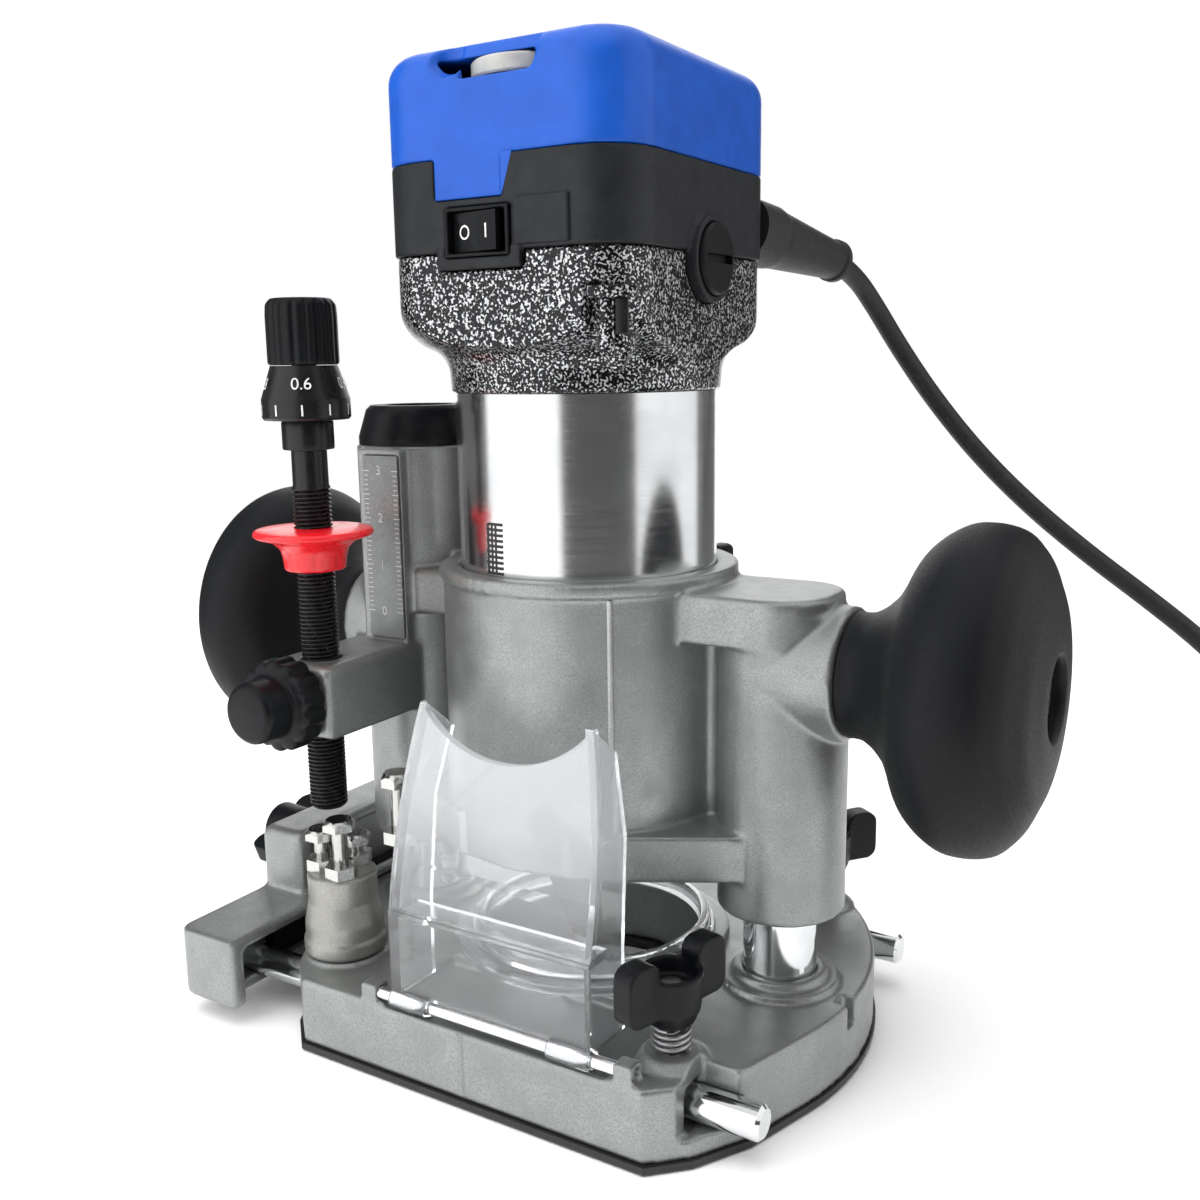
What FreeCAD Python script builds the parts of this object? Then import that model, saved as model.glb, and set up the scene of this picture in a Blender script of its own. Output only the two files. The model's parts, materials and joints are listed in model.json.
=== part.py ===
import FreeCAD, Part
import math
import os
import re
import Sketcher
from FreeCAD import Placement, Rotation, Vector

# A trim router in a plunge base, in millimetres.  The origin is on the spindle axis at the sole's
# underside.  +X runs along the two handles, +Y is away from the flat front edge, +Z is up.

SIZES = {
    # plunge base
    "sole_thick": 2.2,
    "base_top": 19.4,
    "base_radius": 74.3,
    "base_front": 61.0,
    "front_half": 48.8,
    "corner_x": 57.0,
    "corner_y": 53.6,
    "cheek_x": 64.8,
    "cheek_y": 41.0,
    "shoulder_x": 70.0,
    "shoulder_y": 25.0,
    "opening_radius": 31.5,
    "sole_opening_radius": 29.0,
    "post_x": 54.0,
    "post_radius": 9.05,
    "post_wall": 2.5,
    "post_foot": 5.0,
    "left_post_top": 139.0,
    "right_post_top": 100.0,
    "running_gap": 0.06,
    "fixed_gap": 0.02,
    "rod_y": 45.8,
    "rod_z": 10.6,
    "rod_radius": 4.0,
    "rod_left": -86.0,
    "rod_right": 70.5,
    "wing_x": 48.0,
    "wing_screw_radius": 2.5,
    # turret under the depth rod
    "turret_x": -50.2,
    "turret_y": -43.1,
    "turret_seat": 20.4,
    "turret_top": 42.0,
    "turret_radius": 8.9,
    "turret_foot_radius": 10.6,
    "stop_circle": 5.0,
    "stop_radius": 2.0,
    "stop_head_flat": 7.4,
    "stud_x": -34.5,
    "stud_y": -38.0,
    "stud_top": 69.4,
    # chip shield
    "shield_x": 7.6,
    "shield_half": 27.9,
    "shield_top_half": 23.7,
    "shield_y": -58.6,
    "pin_z": 21.4,
    "pin_radius": 1.6,
    "shield_knee": 42.0,
    "shield_peak": 93.0,
    "shield_top_y": -48.6,
    "shield_thick": 2.0,
    "shield_wing": 15.0,
    # edge guide
    "guide_left": -92.0,
    "guide_right": -71.5,
    "guide_half": 63.0,
    "guide_top": 24.0,
    "guide_bottom": 5.0,
    "guide_block_top": 42.0,
    # carriage
    "collar_radius": 37.2,
    "collar_bottom": 50.0,
    "collar_top": 120.8,
    "left_sleeve_radius": 17.0,
    "right_sleeve_radius": 15.5,
    "sleeve_bottom": 39.5,
    "left_sleeve_top": 149.3,
    "right_sleeve_top": 114.0,
    "sleeve_bore": 11.0,
    "plate_top": 117.3,
    "plate_bottom": 105.5,
    "foot_plate_top": 60.5,
    "foot_plate_bottom": 49.0,
    "handle_z": 99.0,
    "handle_root": 71.5,
    "handle_max_radius": 36.4,
    "handle_end": 116.3,
    "cap_top": 159.6,
    "lock_z": 60.0,
    "lock_radius": 3.0,
    # depth rod and its clamp
    "depth_x": -55.2,
    "depth_y": -41.2,
    "depth_radius": 4.8,
    "depth_bottom": 57.9,
    "arm_half": 10.6,
    "arm_front": -50.5,
    "arm_bottom": 79.0,
    "arm_top": 97.5,
    # motor
    "tube_radius": 32.5,
    "tube_wall": 2.2,
    "tube_bottom": 62.0,
    "tube_top": 163.3,
    "case_half_x": 34.0,
    "case_half_y": 38.6,
    "case_corner": 13.0,
    "case_wall": 3.0,
    "band_bottom": 194.6,
    "band_top": 214.6,
    "cover_top": 238.8,
    "tab_left": -15.0,
    "tab_right": 3.4,
    "tab_bottom": 206.0,
    "brush_z": 193.2,
    "armature_radius": 18.0,
    "core_bottom": 98.0,
    "core_top": 143.0,
    # cord
    "cord_radius": 2.9,
}

doc = FreeCAD.newDocument("trim_router")
sheet = doc.addObject("Spreadsheet::Sheet", "dim")
for row, (word, size) in enumerate(SIZES.items(), start=1):
    sheet.set(f"A{row}", word)
    sheet.set(f"B{row}", str(size))
    sheet.setAlias(f"B{row}", word)
doc.recompute()

probe = doc.addObject("App::FeaturePython", "probe")
nodes = []

TURNS = {
    "z": Rotation(),
    "-z": Rotation(Vector(1, 0, 0), 180),
    "x": Rotation(Vector(0, 1, 0), 90),
    "-x": Rotation(Vector(0, 1, 0), -90),
    "y": Rotation(Vector(1, 0, 0), -90),
    "-y": Rotation(Vector(1, 0, 0), 90),
}


def formula(text):
    """Write each sheet word of a text as its cell, so 'post_x + 2' becomes 'dim.post_x + 2'."""
    return re.sub(
        r"[a-z]\w*", lambda word: "dim." + word.group() if word.group() in SIZES else word.group(),
        str(text),
    )


def value(text):
    """The number that a formula gives now."""
    return float(probe.evalExpression(formula(text)))


def bind(item, **sizes):
    """Bind properties of an object to formulas of sheet words."""
    for prop, text in sizes.items():
        item.setExpression(prop, formula(text))
    return item


def place(item, at, turn="z"):
    """Stand an object at a point given by formulas, with its own Z axis along the named axis."""
    rotation = TURNS[turn] if isinstance(turn, str) else turn
    item.Placement = Placement(Vector(*[value(part) for part in at]), rotation)
    for letter, text in zip("xyz", at):
        item.setExpression("Placement.Base." + letter, formula(text))
    return item


def cylinder(name, radius, height, at, turn="z"):
    return place(bind(doc.addObject("Part::Cylinder", name), Radius=radius, Height=height), at, turn)


def cone(name, low_radius, high_radius, height, at, turn="z"):
    return place(
        bind(doc.addObject("Part::Cone", name), Radius1=low_radius, Radius2=high_radius, Height=height),
        at, turn,
    )


def box(name, low, high):
    """A box between two corners, each coordinate a formula."""
    item = doc.addObject("Part::Box", name)
    lengths = [f"({top}) - ({bottom})" for bottom, top in zip(low, high)]
    bind(item, Length=lengths[0], Width=lengths[1], Height=lengths[2])
    return place(item, low)


def prism(name, sides, flat, height, at, turn="z"):
    """A regular prism, such as a hexagon head, by its size across flats."""
    item = doc.addObject("Part::Prism", name)
    item.Polygon = sides
    bind(item, Circumradius=f"({flat}) / 2 / {math.cos(math.pi / sides):.5f}", Height=height)
    return place(item, at, turn)


def fuse(name, *items):
    item = doc.addObject("Part::MultiFuse", name)
    item.Shapes = list(items)
    item.Refine = True
    return item


def cut(name, base, *tools):
    item = doc.addObject("Part::Cut", name)
    item.Base = base
    item.Tool = tools[0] if len(tools) == 1 else fuse(name + "_tools", *tools)
    item.Refine = True
    return item


def common(name, first, second):
    item = doc.addObject("Part::Common", name)
    item.Base = first
    item.Tool = second
    return item


def group(name, *items):
    item = doc.addObject("Part::Compound", name)
    item.Links = list(items)
    return item


def outline(body, role, corners, lift="0"):
    """A closed sketch through corners given by formulas.  A corner with four values ends an arc
    that passes through its last two."""
    sketch = body.newObject("Sketcher::SketchObject", body.Name + "_sketch")
    plane = next(item for item in body.Origin.OriginFeatures if item.Role == role)
    sketch.AttachmentSupport = [(plane, "")]
    sketch.MapMode = "FlatFace"
    sketch.setExpression("AttachmentOffset.Base.z", formula(lift))
    points = [Vector(value(corner[0]), value(corner[1]), 0) for corner in corners]
    ends = []
    for number, corner in enumerate(corners):
        start = points[number - 1]
        if len(corner) == 4:
            middle = Vector(value(corner[2]), value(corner[3]), 0)
            sketch.addGeometry(Part.Arc(start, middle, points[number]), False)
        else:
            sketch.addGeometry(Part.LineSegment(start, points[number]), False)
        forward = (sketch.getPoint(number, 1) - start).Length < 1e-6
        ends.append((1, 2) if forward else (2, 1))
    for number, corner in enumerate(corners):
        follower = (number + 1) % len(corners)
        end = ends[number][1]
        sketch.addConstraint(Sketcher.Constraint("Coincident", number, end, follower, ends[follower][0]))
        pin_point(sketch, number, end, corner)
        if len(corner) == 4:
            sketch.addConstraint(Sketcher.Constraint("Radius", number, sketch.Geometry[number].Radius))
    return sketch


def pin_point(sketch, edge, end, corner):
    """Hold one end of a sketch line at its formulas, or on the sketch's axis where the formula is 0."""
    for kind, axis, text in (("DistanceX", -2, corner[0]), ("DistanceY", -1, corner[1])):
        if text == "0":
            sketch.addConstraint(Sketcher.Constraint("PointOnObject", edge, end, axis))
            continue
        number = sketch.addConstraint(Sketcher.Constraint(kind, -1, 1, edge, end, value(text)))
        sketch.setExpression(f"Constraints[{number}]", formula(text))


def padded(name, corners, bottom, top, role="XY_Plane"):
    """A PartDesign body: an outline padded between two heights."""
    body = doc.addObject("PartDesign::Body", name)
    sketch = outline(body, role, corners, bottom)
    feature = body.newObject("PartDesign::Pad", name + "_pad")
    feature.Profile = sketch
    bind(feature, Length=f"({top}) - ({bottom})")
    sketch.Visibility = False
    return body


def turned(name, corners, at=("0", "0", "0"), turn="z"):
    """A PartDesign body: a profile of (radius, height) corners revolved about the body's own Z axis."""
    body = doc.addObject("PartDesign::Body", name)
    sketch = outline(body, "XZ_Plane", corners)
    feature = body.newObject("PartDesign::Revolution", name + "_turn")
    feature.Profile = sketch
    feature.ReferenceAxis = (sketch, ["V_Axis"])
    feature.Angle = 360
    sketch.Visibility = False
    return place(body, at, turn)


def rounded(name, item, radius, picks):
    """Fillet the edges of an object that a test on the edge picks."""
    doc.recompute()
    found = [number for number, edge in enumerate(item.Shape.Edges, start=1) if picks(edge)]
    fillet = doc.addObject("Part::Fillet", name)
    fillet.Base = item
    fillet.Edges = [(number, value(radius), value(radius)) for number in found]
    return fillet


def upright(edge):
    """True for a straight edge along Z."""
    line = edge.Vertexes[-1].Point - edge.Vertexes[0].Point
    return line.Length > 1 and math.hypot(line.x, line.y) < 1e-6


def level_at(height):
    """A test for edges that lie flat at one height."""
    def picks(edge):
        box_ = edge.BoundBox
        return abs(box_.ZMin - height) < 1e-4 and abs(box_.ZMax - height) < 1e-4
    return picks


def helix_wire(radius, wire_radius, pitch, low, high):
    """A coil of round wire as tall as the gap between two heights, starting at the origin's level."""
    height = high - low - 2 * wire_radius
    spine = Part.makeHelix(pitch, height, radius)
    start = Part.Wire(Part.makeCircle(wire_radius, Vector(radius, 0, 0), Vector(0, 1, 0)))
    return Part.Wire(spine.Edges).makePipeShell([start], True, True)


def feature(name, shape, at=Vector()):
    """A solid made with Part's own functions, placed after its shape is set."""
    item = doc.addObject("Part::Feature", name)
    item.Shape = shape
    item.Placement = Placement(at, Rotation())
    return item


def node(name, item):
    """Hand one finished object on as a sub-part of that name."""
    item.Label = name
    nodes.append(item)
    return item


# ---------------------------------------------------------------- plunge base


def base_outline(grow="0"):
    """The D-shaped plan of the base: a flat front, two chamfers, two cheeks and a round back."""
    side = [
        (f"front_half + ({grow})", f"-base_front - ({grow})"),
        (f"corner_x + ({grow})", f"-corner_y - ({grow}) / 2"),
        (f"cheek_x + ({grow})", "-cheek_y"),
        (f"shoulder_x + ({grow})", "-shoulder_y"),
    ]
    back = (f"-shoulder_x - ({grow})", "-shoulder_y", "0", f"base_radius + ({grow})")
    return [(f"-front_half - ({grow})", f"-base_front - ({grow})")] + side + [back] + [
        (f"-cheek_x - ({grow})", "-cheek_y"), (f"-corner_x - ({grow})", f"-corner_y - ({grow}) / 2")
    ]


def post_boss(side):
    """The stepped boss round a post's foot."""
    low = cylinder(f"boss_low_{side}", "14.6", "1.7", (f"{side} * post_x", "0", "base_top - 0.1"))
    high = cone(f"boss_high_{side}", "12.4", "11.2", "2.4", (f"{side} * post_x", "0", "base_top + 1.2"))
    return fuse(f"boss_{side}", low, high)


def wing_boss(side):
    """The low boss under a wing screw."""
    return cone(f"wing_boss_{side}", "8.6", "6.2", "2.2", ("wing_x", f"{side} * rod_y", "base_top - 0.1"))


def pin_lug(name, low_x, high_x):
    """A lug that holds one end of the shield's hinge pin."""
    return box(
        name, (low_x, "-base_front + 0.4", "base_top - 1"), (high_x, "shield_y + 2.6", "pin_z + 2.2"),
    )


def base_casting():
    plate = padded("base_plate", base_outline(), "sole_thick", "base_top")
    softened = rounded("base_edges", plate, "1.1", level_at(value("base_top")))
    seat = cylinder("turret_seat_ring", "turret_foot_radius", "turret_seat - base_top + 0.1",
                    ("turret_x", "turret_y", "base_top - 0.1"))
    solid = fuse(
        "base_solid", softened, seat, post_boss(-1), post_boss(1), wing_boss(-1), wing_boss(1),
        pin_lug("pin_lug_left", "-29.5", "-24.5"), pin_lug("pin_lug_right", "41.5", "46.5"),
    )
    tools = [
        cylinder("cutter_opening", "opening_radius", "base_top", ("0", "0", "0")),
        box("shield_recess", ("-24", "-56", "16.4"), ("41", "-30", "base_top + 1")),
        box(
            "corner_notch", ("54.3", "-base_front - 5", "6.4"),
            ("base_radius + 5", "2.4 - rod_y", "base_top + 9"),
        ),
        box("rod_pocket", ("50.8", "-5.6 - rod_y", "5.9"), ("55", "1.6 - rod_y", "16.2")),
        box(
            "front_mark", ("-0.1", "-base_front - 1", "sole_thick + 0.8"),
            ("1.5", "-base_front + 0.7", "base_top + 1"),
        ),
        box(
            "rim_mark", ("base_radius - 3.6", "-5.4", "base_top - 6.6"),
            ("base_radius + 2", "-0.8", "base_top + 1"),
        ),
        cylinder("knuckle_groove", "3", "62.5", ("-22.8", "shield_y", "pin_z"), "x"),
        cylinder("pin_bore", "pin_radius + fixed_gap", "90", ("-30", "shield_y", "pin_z"), "x"),
        cylinder("pivot_bore", "2.57", "base_top", ("turret_x", "turret_y", "15.2")),
        cylinder("stud_bore", "2.02", "20", ("stud_x", "stud_y", "12.4")),
    ]
    for side in (-1, 1):
        tools += [
            cylinder(
                f"rod_bore_{side}", "rod_radius + running_gap", "200",
                ("-100", f"{side} * rod_y", "rod_z"), "x",
            ),
            cylinder(
                f"wing_bore_{side}", "wing_screw_radius + running_gap", "base_top",
                ("wing_x", f"{side} * rod_y", "rod_z"),
            ),
            cylinder(
                f"post_bore_{side}", "post_radius + fixed_gap", "base_top",
                (f"{side} * post_x", "0", "post_foot"),
            ),
        ]
        tools += [
            cylinder(
                f"sole_screw_bore_{side}_{end}", "2.05", "10",
                (f"{side} * 34", f"{end} * 30", "sole_thick - 0.1"),
            )
            for end in (-1, 1)
        ]
    return cut("base_body", solid, *tools)


def sole_plate():
    plate = padded("sole_blank", base_outline("0.7"), "0", "sole_thick")
    softened = rounded("sole_edges", plate, "0.8", level_at(0.0))
    tools = [cylinder("sole_opening", "sole_opening_radius", "sole_thick + 2", ("0", "0", "-1"))]
    for side in (-1, 1):
        for end in (-1, 1):
            at = (f"{side} * 34", f"{end} * 30", "-1")
            tools.append(cylinder(f"sole_hole_{side}_{end}", "2.05", "sole_thick + 2", at))
            sunk = (f"{side} * 34", f"{end} * 30", "-0.01")
            tools.append(cone(f"sole_sink_{side}_{end}", "4.3", "2.1", "2.15", sunk))
    return cut("sole_body", softened, *tools)


def sole_screws():
    """Four countersunk screws, their heads just under the sole's face."""
    profile = [("0", "0.35"), ("3.7", "0.35"), ("2", "2.05"), ("2", "11.5"), ("0", "11.5")]
    return group("sole_screw_set", *[
        turned(
            f"sole_screw_{side}_{end}".replace("-", "m"), profile,
            (f"{side * 34}", f"{end * 30}", "0"),
        )
        for side in (-1, 1) for end in (-1, 1)
    ])


def sight_ring():
    """A clear ring with an upright lip, seated in the recess round the cutter opening."""
    profile = [
        ("opening_radius - 3.2", "base_top + 1.3"), ("opening_radius + 5", "base_top + 0.0"),
        ("opening_radius + 5", "base_top + 1.6"), ("opening_radius + 1", "base_top + 2.6"),
        ("opening_radius - 1", "base_top + 6.2"), ("opening_radius - 2.6", "base_top + 6.2"),
        ("opening_radius - 3.2", "base_top + 3.0"),
    ]
    return turned("ring_turned", profile)


def post(name, side, top):
    """A hard-chromed tube, chamfered at its top, standing in the base."""
    wall = "post_radius - post_wall"
    profile = [
        (wall, "post_foot"), ("post_radius", "post_foot"), ("post_radius", f"{top} - 1"),
        ("post_radius - 1", top), (wall, top),
    ]
    return turned(name + "_tube", profile, (f"{side} * post_x", "0", "0"))


def plunge_springs():
    """A coil spring inside each post, from its foot to the roof of its sleeve."""
    wire = 0.8
    low = value("post_foot") + 0.4
    springs = []
    for name, side, top in (
        ("left", -1, value("left_sleeve_top") - 0.4), ("right", 1, value("right_post_top") + 6.5),
    ):
        coil = helix_wire(4.6, wire, 5.5, low, top)
        springs.append(feature(f"{name}_spring", coil, Vector(side * value("post_x"), 0, low + wire)))
    return group("plunge_spring_set", *springs)


def base_studs():
    """The turret's pivot, and the upright bolt with a lock nut that stands beside the turret."""
    pivot = turned("pivot_turned", [
        ("0", "15.3"), ("2.55", "15.3"), ("2.55", "turret_seat"), ("2", "turret_seat"), ("2", "39.4"),
        ("0", "39.4"),
    ], ("turret_x", "turret_y", "0"))
    shank = cylinder("stud_shank", "2", "stud_top - 16.1", ("stud_x", "stud_y", "12.5"))
    head = prism("stud_head_hex", 6, "7.4", "3.6", ("stud_x", "stud_y", "stud_top - 3.6"))
    crown = cone("stud_crown", "5.6", "3.2", "3.6", ("stud_x", "stud_y", "stud_top - 3.6"))
    stud = fuse("stud_body", shank, common("stud_head", head, crown))
    nut = prism("stud_nut_hex", 6, "7.4", "3.2", ("stud_x", "stud_y", "50.8"))
    bore = cylinder("stud_nut_bore", "2.02", "6", ("stud_x", "stud_y", "49"))
    return group("base_stud_set", pivot, stud, cut("stud_nut", nut, bore))


def shield_pin():
    return cylinder("pin_bar", "pin_radius", "74", ("-28.5", "shield_y", "pin_z"), "x")


# ---------------------------------------------------------------- turret

STOPS = {"low": (250, 53.0), "tall": (357, 57.4), "middle": (130, 50.4)}
VIEW_TURN = 45.0    # degrees from -Y to the direction that the stop angles are counted from


def stop_place(angle):
    """Where a stop screw stands, its angle counted from the front right of the turret."""
    turn = math.radians(angle - 90 + VIEW_TURN)
    x = f"turret_x + stop_circle * {math.cos(turn):.5f}"
    y = f"turret_y + stop_circle * {math.sin(turn):.5f}"
    return x, y


def turret_drum():
    profile = [
        ("2 + running_gap", "turret_seat + 0.1"), ("turret_foot_radius - 0.6", "turret_seat + 0.1"),
        ("turret_foot_radius", "turret_seat + 0.9"), ("turret_foot_radius", "turret_seat + 4"),
        ("turret_foot_radius - 0.5", "turret_seat + 4.5"),
        ("turret_foot_radius - 0.5", "turret_seat + 8.5"),
        ("turret_radius", "turret_seat + 14"), ("turret_radius", "turret_top - 0.6"),
        ("turret_radius - 0.6", "turret_top"), ("0", "turret_top"), ("0", "39.8"),
        ("2 + running_gap", "39.8"),
    ]
    drum = turned("drum_turned", profile, ("turret_x", "turret_y", "0"))
    bores = [
        cylinder(
            f"stop_bore_{name}", "stop_radius + fixed_gap", "12",
            (*stop_place(angle), "turret_top - 7.2"),
        )
        for name, (angle, _) in STOPS.items()
    ]
    return cut("drum_body", drum, *bores)


def stop_screws():
    """Three hex stop screws of different heights, with their lock nuts."""
    screws = []
    for name, (angle, top) in STOPS.items():
        x, y = stop_place(angle)
        shank = cylinder(
            f"stop_shank_{name}", "stop_radius", f"{top} - 2.8 - turret_top + 7.1",
            (x, y, "turret_top - 7"),
        )
        head = prism(f"stop_head_{name}", 6, "stop_head_flat", "2.8", (x, y, f"{top} - 2.8"))
        crown = cone(f"stop_crown_{name}", "5.6", "3.2", "2.8", (x, y, f"{top} - 2.8"))
        screws.append(fuse(f"stop_{name}", shank, common(f"stop_crowned_{name}", head, crown)))
    return group("stop_screw_set", *screws, *stop_nuts())


def stop_nuts():
    """The lock nuts of the stop screws."""
    nuts = []
    for name, (angle, _) in STOPS.items():
        x, y = stop_place(angle)
        nut = prism(f"nut_hex_{name}", 6, "stop_head_flat", "3", (x, y, "turret_top + 0.05"))
        bore = cylinder(f"nut_bore_{name}", "stop_radius + fixed_gap", "5", (x, y, "turret_top - 1"))
        nuts.append(cut(f"nut_{name}", nut, bore))
    return nuts


# ---------------------------------------------------------------- chip shield


def shield_panel():
    """The clear guard: an upright foot, a panel leaning back with an arched top, and two side wings."""
    thick = value("shield_thick")
    half = value("shield_half")
    top_half = value("shield_top_half")
    middle = value("shield_x")
    foot = Vector(0, value("shield_y") - thick / 2, value("pin_z") + 1.0)
    knee = Vector(0, value("shield_y") - thick / 2, value("shield_knee"))
    peak = Vector(0, value("shield_top_y") - thick / 2, value("shield_peak"))
    arch = 11.0
    bulge = 1.6

    def corner(line, offset, back=0.0):
        return Vector(middle + offset, line.y + back, line.z)

    def slab(corners, push):
        face = Part.Face(Part.makePolygon(corners + corners[:1]))
        return face.extrude(push)

    def flat_wing(corners, push):
        inner = [point - Vector(push, 0, 0) for point in corners]
        shells = []
        for loop in (corners, inner):
            shells += [
                Part.Face(Part.makePolygon([loop[0], loop[a], loop[b], loop[0]]))
                for a, b in ((1, 2), (2, 3))
            ]
        for number in range(4):
            after = (number + 1) % 4
            shells.append(Part.Face(Part.makePolygon(
                [corners[number], corners[after], inner[after], inner[number], corners[number]],
            )))
        return Part.Solid(Part.Shell(shells))

    front = slab(
        [corner(foot, -half), corner(foot, half), corner(knee, half), corner(knee, -half)],
        Vector(0, thick, 0),
    )
    dip = Vector(middle, peak.y + (knee.y - peak.y) * arch / (peak.z - knee.z), peak.z - arch)
    left_top = corner(peak, -top_half)
    right_top = corner(peak, top_half)
    waist = (knee + peak) / 2
    bulged = (half + top_half) / 2 + bulge
    edges = [
        Part.LineSegment(corner(knee, -half), corner(knee, half)).toShape(),
        Part.Arc(corner(knee, half), corner(waist, bulged), right_top).toShape(),
        Part.Arc(right_top, dip, left_top).toShape(),
        Part.Arc(left_top, corner(waist, -bulged), corner(knee, -half)).toShape(),
    ]
    lean = Part.Face(Part.Wire(edges)).extrude(Vector(0, thick, 0))
    pieces = [front, lean]
    depth = value("shield_wing")
    for side in (-1, 1):
        low = [
            corner(foot, side * half), corner(foot, side * half, depth),
            corner(knee, side * half, depth), corner(knee, side * half),
        ]
        pieces.append(slab(low, Vector(-side * thick, 0, 0)))
        drop = 8.0
        low_waist = corner(waist, side * bulged)
        rear_waist = corner(waist, side * bulged, depth - 2.5)
        top_rear = corner(peak, side * top_half, depth - 5) - Vector(0, 0, drop)
        for high in (
            [corner(knee, side * half), corner(knee, side * half, depth), rear_waist, low_waist],
            [low_waist, rear_waist, top_rear, corner(peak, side * top_half)],
        ):
            pieces.append(flat_wing(high, side * thick))
    shelf = slab(
        [corner(knee, -half), corner(knee, half), corner(knee, half, 9), corner(knee, -half, 9)],
        Vector(0, 0, thick),
    )
    pieces.append(shelf)
    return pieces[0].multiFuse(pieces[1:]).removeSplitter()


def chip_shield():
    panel = feature("shield_panel", shield_panel())
    knuckles = [
        cylinder(
            f"knuckle_{side}", "2.5", "11",
            (f"shield_x + {side} * (shield_half - 5.5) - 5.5", "shield_y", "pin_z"), "x",
        )
        for side in (-1, 1)
    ]
    bore = cylinder("shield_bore", "pin_radius + running_gap", "90", ("-30", "shield_y", "pin_z"), "x")
    slit = box("shield_slit", ("shield_x - shield_half + 11", "shield_y - 4", "base_top - 3"),
               ("shield_x + shield_half - 11", "shield_y + 4", "pin_z + 2.2"))
    return cut("shield_body", fuse("shield_solid", panel, *knuckles), bore, slit)


# ---------------------------------------------------------------- edge guide


def guide_bar():
    """A die-cast channel bar, open towards the base, with a raised block at its middle."""
    blank = box(
        "guide_blank", ("guide_left", "-guide_half", "guide_bottom"),
        ("guide_right", "guide_half", "guide_top"),
    )
    softened = rounded(
        "guide_corners", blank, "4",
        lambda edge: upright(edge) and edge.BoundBox.XMax < value("guide_left") + 1,
    )
    hollow = box("guide_hollow", ("guide_left + 8", "4.5 - guide_half", "guide_bottom + 3.5"),
                 ("guide_right + 1", "guide_half - 4.5", "guide_top - 3.6"))
    low_gap = box(
        "guide_low_gap", ("-77.5", "4.5 - guide_half", "0"),
        ("guide_right + 1", "guide_half - 4.5", "guide_top - 3.6"),
    )
    block = box("guide_block", ("guide_left", "-32", "guide_bottom"), ("-76.2", "32", "guide_block_top"))
    soft_block = rounded(
        "guide_block_edges", block, "2.5",
        lambda edge: edge.BoundBox.ZMax > value("guide_block_top") - 0.01,
    )
    block_hollow = box(
        "guide_block_hollow", ("guide_left + 8", "-28", "guide_bottom + 3.5"),
        ("-74", "28", "guide_block_top - 4"),
    )
    bores = [
        cylinder(
            f"guide_rod_bore_{side}", "rod_radius + fixed_gap", "20",
            ("rod_left - 0.2", f"{side} * rod_y", "rod_z"), "x",
        )
        for side in (-1, 1)
    ]
    screw_bore = cylinder("guide_screw_bore", "2.56", "20", ("guide_left - 2", "-12", "33"), "x")
    return cut(
        "guide_body", fuse("guide_solid", softened, soft_block), hollow, low_gap, block_hollow,
        screw_bore, *bores
    )


def guide_face():
    """The black wear strip inside the channel."""
    return box(
        "face_strip", ("guide_left + 8.05", "-40", "guide_bottom + 3.6"),
        ("guide_left + 11.5", "40", "guide_top - 3.8"),
    )


def guide_rods():
    """Two chromed rods with chamfered ends, fixed in the guide bar and sliding in the base."""
    length = "rod_right - rod_left"
    profile = [("0", "0"), ("rod_radius - 0.6", "0"), ("rod_radius", "0.6"), (
        "rod_radius", f"{length} - 0.8",
    ),
               ("rod_radius - 0.8", length), ("0", length)]
    return group("guide_rod_set", *[
        turned(f"guide_rod_{name}", profile, ("rod_left", f"{side} * rod_y", "rod_z"), "x")
        for name, side in (("front", -1), ("rear", 1))
    ])


def lobe(name, reach, low, high, width):
    """One ear of a wing knob, along the knob's own +X, with round corners."""
    item = box(name, ("5.8", f"-({width}) / 2", low), (reach, f"({width}) / 2", high))
    return rounded(name + "_corners", item, "3.4", lambda edge: edge.BoundBox.YLength > 1 and (
        edge.BoundBox.XMin > value(reach) - 0.01 or edge.BoundBox.ZMin > value(high) - 0.01))


def wing_knob(name, at, turn, reach="15", low="3", high="16.6", width="5.6"):
    """A black plastic wing knob with an open top, standing on its own Z axis."""
    hub = turned(
        name + "_hub",
        [
            ("2.5", "0"), ("5.2", "0"), ("6.6", "3.4"), ("7.2", "11.5"), ("6.8", "12.1"), ("6.0", "11.8"),
            ("5.4", "8"), ("2.5", "8"),
        ],
    )
    ears = []
    for side, angle in (("a", 0), ("b", 180)):
        ear = lobe(f"{name}_ear_{side}", reach, low, high, width)
        holder = doc.addObject("Part::Compound", f"{name}_turn_{side}")
        holder.Links = [ear]
        holder.Placement = Placement(Vector(), Rotation(Vector(0, 0, 1), angle))
        ears.append(holder)
    well = cone(name + "_well", "5.4", "6.6", "12", ("0", "0", "8"))
    through = cylinder(name + "_through", "2.5", "20", ("0", "0", "-1"))
    knob = cut(name + "_shape", fuse(name + "_solid", hub, *ears), well, through)
    return place(knob, at, turn)


def clamp_screw(name, side):
    """The steel screw of a wing knob; its tip just clears the guide rod."""
    tip = "rod_z + rod_radius + 0.3"
    profile = [
        ("0", tip), ("wing_screw_radius - 0.02", tip), ("wing_screw_radius - 0.02", "37.4"),
        ("0", "37.4"),
    ]
    return turned(name + "_stud", profile, ("wing_x", f"{side} * rod_y", "0"))


def wing_springs():
    """Small springs that stop the wing screws from rattling loose."""
    wire = 0.6
    low = value("base_top") + 2.2
    coil = helix_wire(4.0, wire, 1.45, low, 28.3)
    front = feature("spring_front", coil, Vector(value("wing_x"), -value("rod_y"), low + wire))
    rear = feature("spring_rear", coil.copy(), Vector(value("wing_x"), value("rod_y"), low + wire))
    return group("wing_spring_set", front, rear)


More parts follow.
